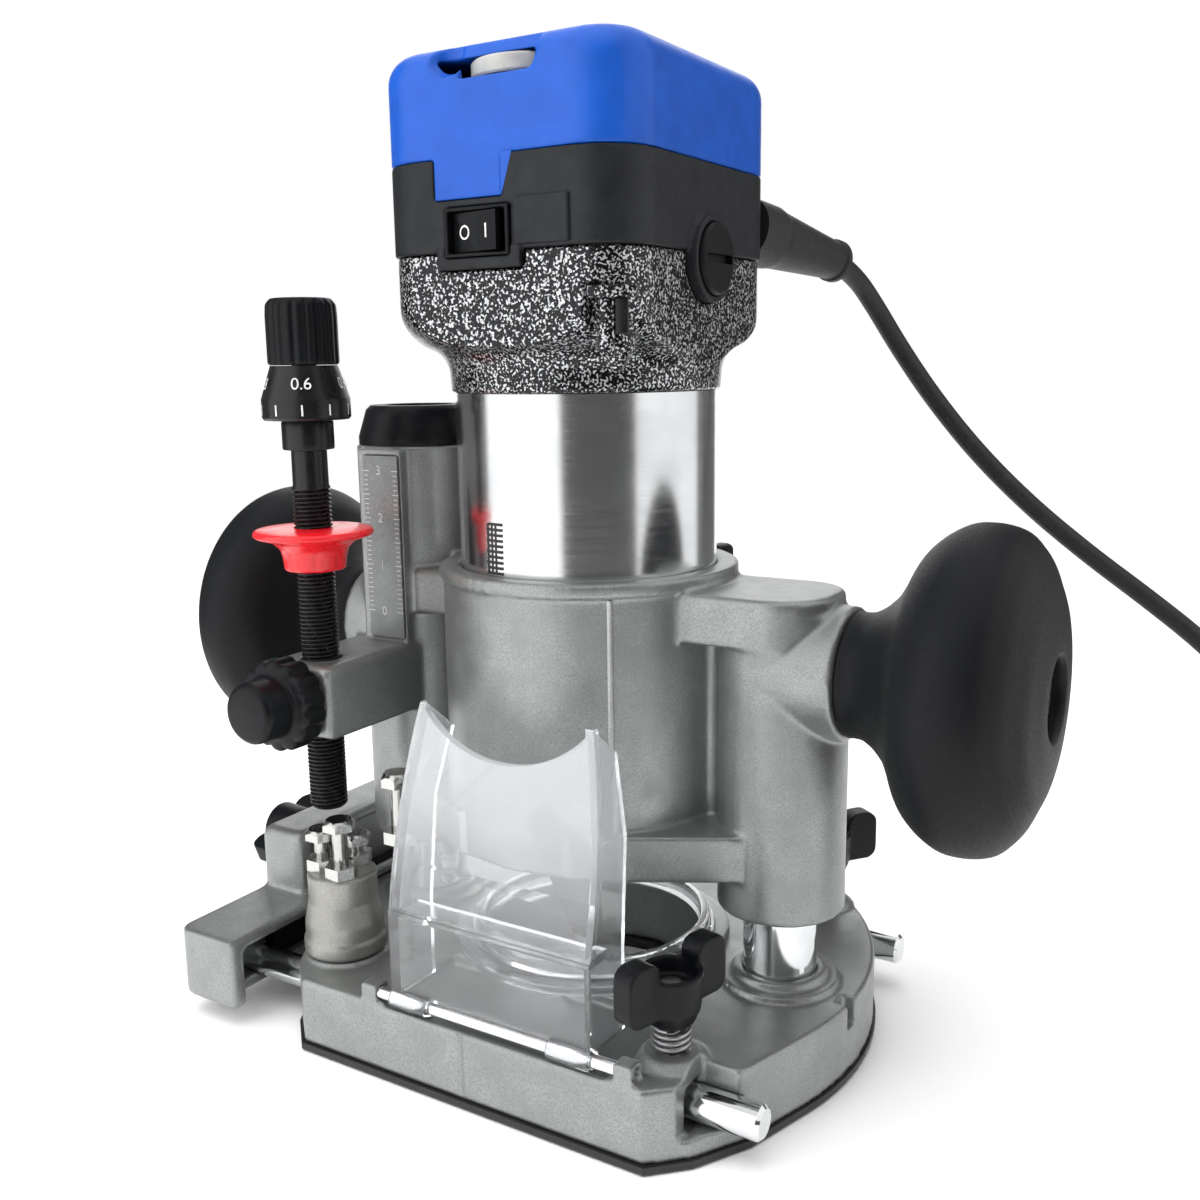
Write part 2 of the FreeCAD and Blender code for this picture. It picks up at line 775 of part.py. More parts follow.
def guide_knob():
    """A two-lobed knob on the outer face of the guide bar's block, and its screw."""
    lean = Rotation(Vector(0, 1, 0), -90).multiply(Rotation(Vector(0, 0, 1), 70))
    knob = wing_knob("guide_wing", ("guide_left - 0.3", "-12", "33"), lean, "13", "3", "12.4", "5.6")
    stud = turned(
        "guide_stud", [("0", "0"), ("2.5", "0"), ("2.5", "15.5"), ("0", "15.5")],
        ("guide_left + 7", "-12", "33"), "-x",
    )
    return group("guide_knob_set", knob, stud)


# ---------------------------------------------------------------- carriage


def tangent_plate(name, bottom, top, left_radius, right_radius, left_x, right_x):
    """A plate whose sides run from the collar to the sleeves."""
    collar = "collar_radius - 3.5"
    corners = [
        (left_x, f"-({left_radius})"), ("-18", f"-({collar})"), ("18", f"-({collar})"),
        (right_x, f"-({right_radius})"),
        (right_x, right_radius), ("18", collar), ("-18", collar), (left_x, left_radius),
    ]
    return padded(name, corners, bottom, top)


def sleeve(side, radius, top):
    name = "left" if side < 0 else "right"
    body = cylinder(
        f"{name}_sleeve", radius, f"{top} - sleeve_bottom", (f"{side} * post_x", "0", "sleeve_bottom"),
    )
    return rounded(
        f"{name}_sleeve_edges", body, "1.5", level_at(value(top if side > 0 else "sleeve_bottom")),
    )


def handle_plate(side):
    """The flat-topped arm that carries a handle, rounded like its sleeve at the outer end."""
    name = "left" if side < 0 else "right"
    low, high = ("30", "67") if side > 0 else ("-67", "-30")
    plate = box(f"{name}_plate", (low, "-15.8", "plate_bottom"), (high, "15.8", "plate_top"))
    ends = rounded(
        f"{name}_plate_ends", plate, "12.5",
        lambda edge: upright(edge) and abs(edge.BoundBox.XMin - side * 67) < 1,
    )
    return rounded(f"{name}_plate_rim", ends, "1.6", level_at(value("plate_top")))


def handle_boss(side):
    """The round boss and stub that a handle fits on."""
    name = "left" if side < 0 else "right"
    turn = "x" if side > 0 else "-x"
    boss = cylinder(
        f"{name}_boss", "15.7", "handle_root - post_x - 0.1", (f"{side} * post_x", "0", "handle_z"),
        turn,
    )
    stub = cylinder(f"{name}_stub", "9", "11", (f"{side} * (handle_root - 1)", "0", "handle_z"), turn)
    return fuse(f"{name}_boss_and_stub", boss, stub)


def web(side):
    """The upright web between the collar and a sleeve."""
    name = "left" if side < 0 else "right"
    low, high = ("30", "44") if side > 0 else ("-44", "-30")
    return box(f"{name}_web", (low, "-6", "foot_plate_top - 1"), (high, "6", "plate_bottom + 1"))


def rod_arm():
    """The arm that holds the depth rod, reaching forward from the left sleeve."""
    arm = box(
        "rod_arm_blank", ("depth_x - arm_half", "arm_front", "arm_bottom"),
        ("depth_x + arm_half", "-8", "arm_top"),
    )
    return rounded("rod_arm_edges", arm, "2.2",
        lambda edge: edge.BoundBox.YMax < value("arm_front") + 0.01 or (
        edge.BoundBox.YLength > 30 and edge.BoundBox.ZMin > value("arm_top") - 0.01))


def carriage_casting():
    collar = cylinder(
        "collar", "collar_radius", "collar_top - collar_bottom", ("0", "0", "collar_bottom"),
    )
    rim = cylinder("collar_rim", "collar_radius + 0.9", "3.2", ("0", "0", "collar_top - 3.2"))
    ears = box("clamp_ears", ("-11", "30", "66"), ("11", "50", "104"))
    scale_pad = box("scale_pad", ("-61", "-18.2", "96"), ("-46", "-6", "left_sleeve_top - 0.6"))
    lock_boss = cylinder("lock_boss", "8", "11", ("post_x", "11", "lock_z"), "y")
    solid = fuse(
        "carriage_solid", collar, rim, ears, scale_pad, lock_boss, rod_arm(),
        sleeve(-1, "left_sleeve_radius", "left_sleeve_top"), sleeve(
            1, "right_sleeve_radius", "right_sleeve_top",
        ),
        handle_plate(-1), handle_plate(1), handle_boss(-1), handle_boss(1), web(-1), web(1),
        tangent_plate(
            "foot_plate", "foot_plate_bottom", "foot_plate_top", "14", "14", "-post_x", "post_x",
        ),
    )
    tools = [
        cylinder("collar_bore", "tube_radius + fixed_gap", "100", ("0", "0", "collar_bottom + 8")),
        cylinder("nose_bore", "23", "30", ("0", "0", "collar_bottom - 5")),
        box("clamp_slot", ("-1.6", "25", "collar_bottom - 5"), ("1.6", "55", "collar_top + 5")),
        cylinder("left_bore", "sleeve_bore", "120", ("-post_x", "0", "sleeve_bottom - 5")),
        cylinder(
            "right_bore", "sleeve_bore", "right_post_top - sleeve_bottom + 12",
            ("post_x", "0", "sleeve_bottom - 5"),
        ),
        cylinder("left_top_bore", "12.5", "20", ("-post_x", "0", "left_sleeve_top - 8")),
        cylinder(
            "rod_bore", "depth_radius + running_gap", "60", ("depth_x", "depth_y", "arm_bottom - 10"),
        ),
        cylinder("rod_clamp_bore", "3.06", "12", ("depth_x", "arm_front - 1", "88.6"), "y"),
        cylinder("clamp_screw_bore", "2.56", "40", ("-20", "43.5", "85"), "x"),
        cylinder("lock_bore", "lock_radius + running_gap", "20", ("post_x", "8", "lock_z"), "y"),
        box("scale_window", ("-58.4", "-18.5", "98.4"), ("-46.6", "-17.2", "147")),
    ]
    for name, side, turn in (("left", -1, "-x"), ("right", 1, "x")):
        tools.append(
            cylinder(
                f"{name}_bolt_bore", "4 + fixed_gap", "12",
                (f"{side} * (handle_root + 1.2)", "0", "handle_z"), turn,
            )
        )
    return cut("carriage_body", solid, *tools)


def carriage_bushes():
    rings = []
    for side, spans in (
        (-1, (("sleeve_bottom + 1.5", 14), ("99", 16))),
        (1, (("sleeve_bottom + 1.5", 14), ("64.5", 13))),
    ):
        for number, (low, length) in enumerate(spans):
            profile = [
                ("post_radius + running_gap", low), ("sleeve_bore - 0.02", low),
                ("sleeve_bore - 0.02", f"{low} + {length}"), (
                    "post_radius + running_gap", f"{low} + {length}",
                ),
            ]
            label = "left" if side < 0 else "right"
            rings.append(turned(f"bush_{label}_{number}", profile, (f"{side} * post_x", "0", "0")))
    return group("bush_set", *rings)


def post_cap():
    profile = [
        ("0", "left_sleeve_top + 0.05"), ("16.4", "left_sleeve_top + 0.05"),
        ("16.4", "left_sleeve_top + 2"),
        ("14.2", "cap_top - 1.2"), ("13", "cap_top"), ("9.4", "cap_top"), ("8.8", "cap_top - 1.6"),
        ("0", "cap_top - 1.6"),
    ]
    return turned("cap_turned", profile, ("-post_x", "0", "0"))


def depth_scale():
    return box("scale_strip", ("-58.3", "-18.6", "98.5"), ("-46.7", "-17.22", "146.9"))


def handle(side):
    """A round knob: a neck that flares to a thick rounded disc, with a deep hole in its end."""
    name = "left" if side < 0 else "right"
    profile = [
        ("9.05", "0"), ("14.9", "0"), ("14.5", "2"), ("16.6", "7.6", "14.8", "4.6"),
        ("25.5", "14.6", "20.2", "11.7"), ("handle_max_radius", "29.7", "34.0", "20.7"),
        ("30.5", "39.7", "35.3", "35.7"), ("13", "handle_end - handle_root", "22.5", "43.7"),
        ("8.8", "handle_end - handle_root - 0.6"), ("8.8", "34.6"), ("4.1", "34.6"), ("4.1", "11.3"),
        ("9.05", "11.3"),
    ]
    return turned(
        f"{name}_knob", profile, (f"{side} * (handle_root)", "0", "handle_z"),
        "x" if side > 0 else "-x",
    )


def handle_bolts():
    bolts = []
    for name, side, turn in (("left", -1, "-x"), ("right", 1, "x")):
        profile = [
            ("0", "2"), ("4", "2"), ("4", "34.7"), ("7", "34.7"), ("7", "41.5"), ("6.4", "42.1"),
            ("0", "42.1"),
        ]
        bolt = turned(f"{name}_bolt", profile, (f"{side} * handle_root", "0", "handle_z"), turn)
        socket = prism(
            f"{name}_socket", 6, "6", "5", (f"{side} * (handle_root + 38)", "0", "handle_z"), turn,
        )
        bolts.append(cut(f"{name}_bolt_body", bolt, socket))
    return group("handle_bolt_set", *bolts)


def lock_lever():
    """The plunge lock: a stud whose tip bears on the right post, and a lever on its end."""
    stud = turned(
        "lock_stud", [("0", "9.5"), ("lock_radius", "9.5"), ("lock_radius", "32.4"), ("0", "32.4")],
        ("post_x", "0", "lock_z"), "y",
    )
    hub = turned("lock_hub", [
        ("lock_radius", "22.4"), ("4.8", "22.4"), ("5.2", "23.2"), ("5.2", "30.6"), ("4.6", "31.5"),
        ("lock_radius", "31.5"),
    ], ("post_x", "0", "lock_z"), "y")
    arm = padded("lock_arm", [
        ("post_x + 3", "lock_z + 4.5"), ("post_x - 14.5", "lock_z + 39"), (
            "post_x - 21.5", "lock_z + 39",
        ),
        ("post_x - 22.5", "lock_z + 33"), ("post_x - 5", "lock_z - 3"),
    ], "-29", "-24", role="XZ_Plane")
    soft = rounded(
        "lock_arm_edges", arm, "1.5",
        lambda edge: edge.BoundBox.YLength > 4.9 and edge.BoundBox.ZMin > value("lock_z") + 20,
    )
    bore = cylinder("lock_lever_bore", "lock_radius", "30", ("post_x", "15", "lock_z"), "y")
    return group("lock_set", stud, cut("lock_lever_body", fuse("lock_lever_solid", hub, soft), bore))


def collar_screw():
    """The screw that closes the split collar, and its nut."""
    bar = turned(
        "collar_screw_bar", [("0", "-19"), ("2.5", "-19"), ("2.5", "24"), ("0", "24")],
        ("0", "43.5", "85"), "x",
    )
    nut = prism("collar_nut_hex", 6, "9", "5", ("-16.6", "43.5", "85"), "x")
    bore = cylinder("collar_nut_bore", "2.52", "9", ("-18", "43.5", "85"), "x")
    return group("collar_screw_set", bar, cut("collar_nut_body", nut, bore))


def collar_lever():
    """The lever on the end of the collar screw."""
    hub = cylinder("collar_lever_hub", "7.5", "9", ("11.4", "43.5", "85"), "x")
    arm = box("collar_lever_arm", ("13.4", "39.5", "85"), ("18.4", "47.5", "120"))
    soft = rounded(
        "collar_lever_edges", arm, "2",
        lambda edge: edge.BoundBox.ZMin > 119 and edge.BoundBox.ZLength < 1,
    )
    bore = cylinder("collar_lever_bore", "2.5", "30", ("5", "43.5", "85"), "x")
    return cut("collar_lever_body", fuse("collar_lever_solid", hub, soft), bore)


# ---------------------------------------------------------------- depth rod


def depth_rod():
    """The threaded rod: thread, plain stem and the collar under the dial."""
    profile = [
        ("0", "depth_bottom"), ("depth_radius - 0.6", "depth_bottom"), (
            "depth_radius", "depth_bottom + 0.6",
        ),
        ("depth_radius", "141"), ("4.4", "141.4"), ("4.4", "150"), ("6.3", "150"), ("6.3", "157.2"),
        ("3", "157.2"), ("3", "180"), ("0", "180"),
    ]
    return turned("rod_turned", profile, ("depth_x", "depth_y", "0"))


def rod_flange():
    """The red flanged nut on the rod."""
    inner = "depth_radius + running_gap"
    profile = [
        (inner, "120.2"), ("7.4", "120.2"), ("7.9", "121"), ("7.9", "123.2"),
        ("9.4", "126.6", "8.2", "125.3"), ("14.5", "128.3"), ("14.9", "129.2"), ("14.4", "130.3"),
        ("8.4", "130.8"), (inner, "130.8"),
    ]
    return turned("flange_turned", profile, ("depth_x", "depth_y", "0"))


def dial_ring():
    profile = [
        ("3.06", "157.4"), ("10.2", "157.4"), ("10.7", "158"), ("10.7", "162.4"), ("8.1", "170.4"),
        ("3.06", "170.4"),
    ]
    return turned("dial_turned", profile, ("depth_x", "depth_y", "0"))


def adjust_knob():
    """The ribbed fine-adjust knob on top of the rod."""
    profile = [
        ("3.06", "170.5"), ("8.0", "170.5"), ("8.5", "171.4"), ("8.6", "184.4"), ("7.2", "186.3"),
        ("0", "186.3"), ("0", "180.2"), ("3.06", "180.2"),
    ]
    return turned("knob_turned", profile, ("depth_x", "depth_y", "0"))


def rod_clamp_knob():
    """The side knob that clamps the rod: a ribbed disc, a smaller cap and its screw."""
    profile = [
        ("0", "-2.2"), ("3", "-2.2"), ("3", "0.9"), ("11", "0.9"), ("11.7", "1.6"), ("11.7", "7.2"),
        ("11", "7.9"),
        ("7.8", "8.6"), ("7.5", "15.6"), ("6.3", "16.8"), ("0", "16.8"),
    ]
    return turned("clamp_knob_turned", profile, ("depth_x", "arm_front", "88.6"), "-y")


# ---------------------------------------------------------------- motor


def case_block(name, bottom, top, grow="0"):
    """The rounded-oblong block that the upper casings are made from."""
    half_x = f"case_half_x + ({grow})"
    half_y = f"case_half_y + ({grow})"
    blank = box(name + "_blank", (f"-({half_x})", f"-({half_y})", bottom), (half_x, half_y, top))
    return rounded(name, blank, f"case_corner + ({grow})", upright)


def motor_tube():
    inner = "tube_radius - tube_wall"
    profile = [
        ("13.02", "tube_bottom"), ("tube_radius - 2", "tube_bottom"), ("tube_radius", "tube_bottom + 2"),
        ("tube_radius", "tube_top"), (inner, "tube_top"), (inner, "tube_bottom + 9"),
        ("13.02", "tube_bottom + 9"),
    ]
    return turned("tube_turned", profile)


RELIEF_START = Vector(25.3, 37.0, 203.4)
SCREW_PLACES = [("-27.3", "-31", 184), ("-27.3", "31", 184), ("27.3", "-31", 175), ("27.3", "31", 184)]
SCREW_TOP = 209


def upper_casting():
    """The casting that flares from the round tube to the oblong casings, hollow inside."""
    bowl = turned("bowl", [
        ("0", "tube_top + 0.1"), ("33.3", "tube_top + 0.1"), ("33.6", "tube_top + 4.4"), (
            "37.2", "tube_top + 10.2", "34.6", "tube_top + 7.8",
        ),
        ("45.5", "tube_top + 19.6", "42.4", "tube_top + 13.6"), ("47.5", "band_bottom"),
        ("0", "band_bottom"),
    ])
    shell = common(
        "casting_shell", bowl, case_block("casting_block", "tube_top", "band_bottom + 1", "-0.6"),
    )
    boss = cylinder("screw_boss", "4.2", "20", ("27.3", "-31", "173"))
    boss_foot = cone("screw_boss_foot", "1", "4.2", "5", ("27.3", "-31", "168"))
    hollow = turned("casting_hollow", [
        ("0", "tube_top - 1"), ("29.8", "tube_top - 1"), ("29.8", "tube_top + 9"),
        ("31", "band_bottom + 2"), ("0", "band_bottom + 2"),
    ])
    tools = [hollow]
    for side, turn in ((-1, "-x"), (1, "x")):
        tools.append(cylinder(f"brush_cut_{side}", "9.9", "30", (f"{side} * 22", "0", "brush_z"), turn))
    for number, (x, y, low) in enumerate(SCREW_PLACES):
        tools.append(cylinder(f"casting_screw_way_{number}", "1.95", "30", (x, y, f"{low - 0.1}")))
    tools.append(
        box(
            "skirt_notch", ("tab_left + 0.4", "-case_half_y - 2", "190.7"),
            ("8.1", "-case_half_y + 3.6", "band_bottom + 2"),
        )
    )
    tools.append(
        box(
            "frame_notch", ("-12.5", "-case_half_y - 2", "193.3"),
            ("5.5", "-case_half_y + 8", "band_bottom + 2"),
        )
    )
    corner = box("screw_notch", ("23.4", "-40", "tube_top + 12"), ("31.2", "-34.6", "187"))
    return cut(
        "casting_body", fuse("casting_solid", cut("casting_notched", shell, corner), boss, boss_foot),
        *tools
    )


def casing_screws():
    """Four long screws that hold the casings to the tube."""
    screws = []
    for number, (x, y, low) in enumerate(SCREW_PLACES):
        height = f"{SCREW_TOP - low}"
        profile = [("0", "0"), ("1.9", "0"), ("1.9", height), ("0", height)]
        screws.append(turned(f"casing_screw_{number}", profile, (x, y, f"{low}")))
    return group("casing_screw_set", *screws)


def middle_band():
    """The dark band between the casting and the cover, with round surrounds for the brush caps."""
    block = case_block("band_block", "band_bottom", "band_top")
    surrounds = [
        cylinder(
            f"surround_{side}", "9.8", "14.7", (f"{side} * 21", "0", "brush_z"),
            "-x" if side < 0 else "x",
        ) for side in (-1, 1)
    ]
    switch_skirt = box(
        "switch_skirt", ("tab_left + 0.5", "-case_half_y - 0.6", "190.8"),
        ("8", "-case_half_y + 3.5", "band_bottom + 1"),
    )
    hollow = case_block("band_hollow", "band_bottom - 1", "band_top + 1", "-case_wall")
    bearing_plate = cylinder("bearing_plate", "14", "7", ("0", "0", "203.4"))
    bridge = box("bearing_bridge", ("2 - case_half_x", "-5", "203.4"), ("case_half_x - 2", "5", "207.6"))
    solid = fuse(
        "band_solid", cut("band_shell", fuse("band_outer", block, switch_skirt), hollow), *surrounds,
        bearing_plate, bridge,
    )
    tools = [
        box(
            "switch_opening", ("-12.4", "-case_half_y - 3", "193.4"),
            ("5.4", "-case_half_y + 8", "204.2"),
        ),
        box(
            "tab_opening", ("tab_left - 0.1", "-case_half_y - 3", "tab_bottom - 0.1"),
            ("tab_right + 0.1", "-case_half_y + 5", "band_top + 1"),
        ),
        cylinder("bearing_seat", "9.52", "6.2", ("0", "0", "203")),
        cylinder("shaft_hole", "6", "20", ("0", "0", "200")),
        cylinder(
            "relief_seat", "8.65", "6",
            (f"{RELIEF_START.x + 0.2}", "case_half_y - 4", f"{RELIEF_START.z}"), "y",
        ),
    ]
    for side, turn in ((-1, "-x"), (1, "x")):
        tools.append(
            cylinder(f"holder_bore_{side}", "6.02", "40", (f"{side} * 12", "0", "brush_z"), turn)
        )
        tools.append(cylinder(f"cap_seat_{side}", "8.22", "3", (f"{side} * 34", "0", "brush_z"), turn))
    for number, (x, y, _) in enumerate(SCREW_PLACES):
        tools.append(cylinder(f"band_screw_way_{number}", "1.95", "30", (x, y, "190")))
    return cut("band_body", solid, *tools)


def top_cover():
    """The blue cover: rounded top edges, a recess for the speed dial and a tab over the switch."""
    block = case_block("cover_block", "band_top + 0.05", "cover_top")
    crowned = rounded("cover_crown", block, "6.5", level_at(value("cover_top")))
    tab = box(
        "cover_tab", ("tab_left", "-case_half_y", "tab_bottom"),
        ("tab_right", "-case_half_y + 3", "band_top + 3"),
    )
    hollow = case_block("cover_hollow", "band_top - 1", "cover_top - case_wall", "-case_wall")
    facet = padded("dial_facet", [
        ("-case_half_y - 2", "cover_top - 8.6"), ("-case_half_y - 0.2", "cover_top - 8.6"),
        ("-33.4", "cover_top + 1.2"), ("-case_half_y - 2", "cover_top + 1.2"),
    ], "-8.4", "12.6", role="YZ_Plane")
    bowl = bind(doc.addObject("Part::Sphere", "finger_bowl"), Radius="6")
    place(bowl, ("-10.6", "-39.6", "cover_top - 1.4"))
    bowl_half = box("bowl_half", ("-20", "-50", "cover_top - 12"), ("-8.3", "-30", "cover_top + 5"))
    scoop = common("finger_scoop", bowl, bowl_half)
    slot = box("dial_slot", ("-8.2", "-case_half_y - 2", "230.9"), ("11.2", "-case_half_y + 4", "235.3"))
    shell = fuse("cover_solid", cut("cover_shell", crowned, hollow), tab)
    return cut("cover_body", shell, facet, scoop, slot)


def speed_dial():
    """The thumbwheel of the speed control, on an upright axle."""
    return turned("dial_wheel", [
        ("0", "-5.6"), ("1.4", "-5.6"), ("1.4", "-1.9"), ("12", "-1.9"), ("12.5", "-1.4"),
        ("12.5", "1.4"),
        ("12", "1.9"), ("0", "1.9"),
    ], ("2", "-25.5", "233.1"))


def switch_frame():
    outer = box(
        "frame_outer", ("-12.3", "-case_half_y - 0.8", "193.5"), ("5.3", "-case_half_y + 7", "204.1"),
    )
    inner = box(
        "frame_inner", ("-11.2", "-case_half_y - 2", "194.3"), ("4.2", "-case_half_y + 8", "203.3"),
    )
    pin_way = cylinder("frame_pin_way", "0.86", "20", ("-3.5", "-case_half_y + 3.4", "190"))
    return cut("frame_body", outer, inner, pin_way)


def switch_rocker():
    """The rocker: a shallow V of two faces, turning on an upright pin."""
    corners = [
        ("-10.8", "case_half_y - 1.0"), ("-3.5", "case_half_y + 0.4"), ("2.8", "case_half_y + 1.9"),
        ("2.4", "case_half_y - 5.2"), ("-9.4", "case_half_y - 5.2"),
    ]
    flipped = [(x, f"-({y})") for x, y in corners]
    paddle = padded("rocker_paddle", flipped, "194.6", "203.0")
    pin = cylinder("rocker_pin", "0.8", "10", ("-3.5", "-case_half_y + 3.4", "193.8"))
    return fuse("rocker_body", paddle, pin)


def brush_caps():
    caps = []
    for name, side, turn in (("left", -1, "-x"), ("right", 1, "x")):
        profile = [("0", "34.05"), ("8.2", "34.05"), ("8.2", "36.2"), ("7.5", "36.8"), ("0", "36.8")]
        disc = turned(f"brush_cap_{name}", profile, ("0", "0", "brush_z"), turn)
        slot = box(
            f"brush_cap_slot_{name}", (f"{side} * 36.4 - 1", "-6.5", "brush_z - 1"),
            (f"{side} * 36.4 + 1", "6.5", "brush_z + 1"),
        )
        caps.append(cut(f"brush_cap_cut_{name}", disc, slot))
    return group("brush_cap_set", *caps)


def brush_holders():
    tubes = []
    for name, turn in (("left", "-x"), ("right", "x")):
        tube = cylinder(f"holder_tube_{name}", "6", "20", ("0", "0", "brush_z"), turn)
        start = cylinder(f"holder_core_{name}", "8", "13.5", ("0", "0", "brush_z"), turn)
        way = box(
            f"holder_way_{name}", ("-34", "-3.05", "brush_z - 4.05"), ("34", "3.05", "brush_z + 4.05"),
        )
        bind(tube, Height="33.9")
        tubes.append(cut(f"holder_{name}", tube, start, way))
    return group("brush_holder_set", *tubes)


def carbon_brushes():
    left = box("brush_left", ("-26", "-3", "brush_z - 4"), ("-11.3", "3", "brush_z + 4"))
    right = box("brush_right", ("11.3", "-3", "brush_z - 4"), ("26", "3", "brush_z + 4"))
    return group("brush_set", left, right)


def stator_core():
    """The laminated field core: a ring pressed in the tube, with two pole faces."""
    ring = cylinder(
        "core_ring", "tube_radius - tube_wall - 0.05", "core_top - core_bottom",
        ("0", "0", "core_bottom"),
    )
    bore = cylinder("core_bore", "armature_radius + 0.6", "core_top", ("0", "0", "core_bottom - 10"))
    pockets = []
    for side in (-1, 1):
        pocket = box(
            f"coil_pocket_{side}", (f"{side} * 20.5 - 5", "-15", "core_bottom - 2"),
            (f"{side} * 20.5 + 5", "15", "core_top + 2"),
        )
        pockets.append(pocket)
    return cut("core_body", ring, bore, *pockets)


def stator_coils():
    """The two field coils, one in each side pocket of the core."""
    coils = []
    for side in (-1, 1):
        block = box(
            f"coil_{side}", (f"{side} * 21.2 - 2.1", "-14.8", "core_bottom - 9"),
            (f"{side} * 21.2 + 2.1", "14.8", "core_top + 9"),
        )
        coils.append(rounded(f"coil_soft_{side}", block, "1.6", upright))
    return group("coil_set", *coils)


def armature():
    """The wound core and the commutator, both pressed on the spindle."""
    core = turned("armature_core", [
        ("5", "core_bottom"), ("armature_radius", "core_bottom"), ("armature_radius", "core_top"),
        ("13", "core_top + 9"), ("5", "core_top + 9"),
    ])
    slots = [
        cylinder(f"armature_slot_{number}", "1.3", "core_top - core_bottom + 2", (
            f"(armature_radius - 0.3) * {math.cos(number * math.pi / 6):.5f}",
            f"(armature_radius - 0.3) * {math.sin(number * math.pi / 6):.5f}", "core_bottom - 1"))
        for number in range(12)
    ]
    commutator = turned("commutator", [("5", "182"), ("11", "182"), ("11", "201"), ("5", "201")])
    return group("armature_set", cut("armature_body", core, *slots), commutator)


def spindle():
    profile = [
        ("0", "66"), ("4.6", "58"), ("7.4", "52"), ("7.4", "61.6"), ("5.98", "61.8"), ("5.98", "71.5"),
        ("4.98", "72"),
        ("4.98", "202.6"), ("3.98", "203"), ("3.98", "209.5"), ("0", "209.5"),
    ]
    return turned("spindle_turned", profile)


def fan():
    """The cooling fan over the lower bearing."""
    hub = turned("fan_hub", [("5", "74"), ("9", "74"), ("9", "86"), ("5", "86")])
    disc = turned("fan_disc", [("8.5", "74"), ("27.5", "74"), ("27.5", "75.6"), ("8.5", "75.6")])
    blade = Part.makeBox(19, 1.4, 9.6, Vector(8, -0.7, 75.4))
    blades = []
    for number in range(9):
        turned_blade = blade.copy()
        turned_blade.rotate(Vector(), Vector(0, 0, 1), number * 40)
        blades.append(turned_blade)
    ring = feature("fan_blades", blades[0].multiFuse(blades[1:]))
    bore = cylinder("fan_bore", "5", "30", ("0", "0", "66"))
    return cut("fan_body", fuse("fan_solid", hub, disc, ring), bore)


def bearings():
    """The two ball bearings of the spindle, as plain rings."""
    lower = turned("bearing_lower", [("6", "62.2"), ("13", "62.2"), ("13", "70.8"), ("6", "70.8")])
    upper = turned("bearing_upper", [("4", "203.2"), ("9.5", "203.2"), ("9.5", "208.8"), ("4", "208.8")])
    return group("bearing_set", lower, upper)


def collet():
    """The split collet that grips a cutter's shank."""
    cone_body = turned(
        "collet_cone",
        [("3.175", "47"), ("6.2", "47"), ("6.2", "52.6"), ("4.3", "58"), ("3.175", "58")],
    )
    slots = [
        box("collet_slot_x", ("-0.4", "-9", "49"), ("0.4", "9", "60")),
        box("collet_slot_y", ("-9", "-0.4", "49"), ("9", "0.4", "60")),
    ]
    return cut("collet_body", cone_body, *slots)


def collet_nut():
    nut = prism("collet_nut_hex", 6, "19", "14", ("0", "0", "45.5"))
    tools = [
        cylinder("collet_nut_bore", "7.42", "20", ("0", "0", "51.9")),
        cylinder("collet_nut_mouth", "6.24", "12", ("0", "0", "44")),
    ]
    return cut("collet_nut_body", nut, *tools)


def control_board():
    """The speed control's circuit board, with the potentiometer that the speed dial turns."""
    board = box("board_plate", ("-26", "-21", "218"), ("26", "24", "219.6"))
    body = box("board_dial_block", ("-5", "-31", "218"), ("9", "-19", "230.6"))
    hole = cylinder("board_dial_hole", "1.46", "5", ("2", "-25.5", "227"))
    return cut("board_body", fuse("board_solid", board, body), hole)


# ---------------------------------------------------------------- lead


# The lead's route, from the strain relief's tip to the coil: a free fall to the right, then along
# the floor.
ROUTE = [
    (34.5, 80.0, 197.2), (36.0, 90.6, 194.2), (39.5, 99.0, 185.6), (45.0, 105.8, 173.6),
    (54.0, 111.6, 158.5),
    (67.0, 116.4, 141.5), (83.0, 119.2, 125.6), (100.5, 120.8, 111.6), (117.8, 121.6, 99.4),
    (133.5, 121.8, 87.6),
    (147.5, 121.4, 74.2), (159.0, 120.6, 58.8), (168.6, 119.9, 42.2), (178.8, 119.8, 26.0),
    (191.5, 120.9, 13.0),
    (207.0, 122.6, 5.0), (223.0, 121.4, 2.95),
]
COIL_CENTRE = Vector(209.5, 75.6, 0)
COIL_RADIUS = 32.0
COIL_HALF_WIDTH = 11.6
COIL_HEIGHT = 10.9
PLUG_PLACE = Vector(190.0, 22.0, 0)
LEAD_GAP = 0.6


def rounded_path(points):
    """Straight runs joined by tangent arcs, each arc as large as its two runs allow."""
    edges = []
    here = points[0]
    for before, corner, after in zip(points, points[1:], points[2:]):
        into = corner - before
        out = after - corner
        turn = into.getAngle(out)
        radius = 0.45 * min(into.Length, out.Length) / math.tan(turn / 2)
        trim = radius * math.tan(turn / 2)
        into.normalize()
        out.normalize()
        start = corner - into * trim
        finish = corner + out * trim
        inward = (out - into).normalize()
        middle = corner + inward * (math.hypot(radius, trim) - radius)
        edges.append(Part.LineSegment(here, start).toShape())
        edges.append(Part.Arc(start, middle, finish).toShape())
        here = finish
    edges.append(Part.LineSegment(here, points[-1]).toShape())
    return Part.Wire(edges)


def cord_lead():
    points = [Vector(*point) for point in ROUTE]
    points[0] += (points[1] - points[0]).normalize() * LEAD_GAP
    path = rounded_path(points)
    radius = value("cord_radius")
    circle = Part.Wire(Part.makeCircle(radius, points[0], points[1] - points[0]))
    tube = path.makePipeShell([circle], True, True)
    print(f"lead: {path.Length:.0f} mm, {tube.Volume / 1000:.2f} cm3")
    return feature("lead_tube", tube)


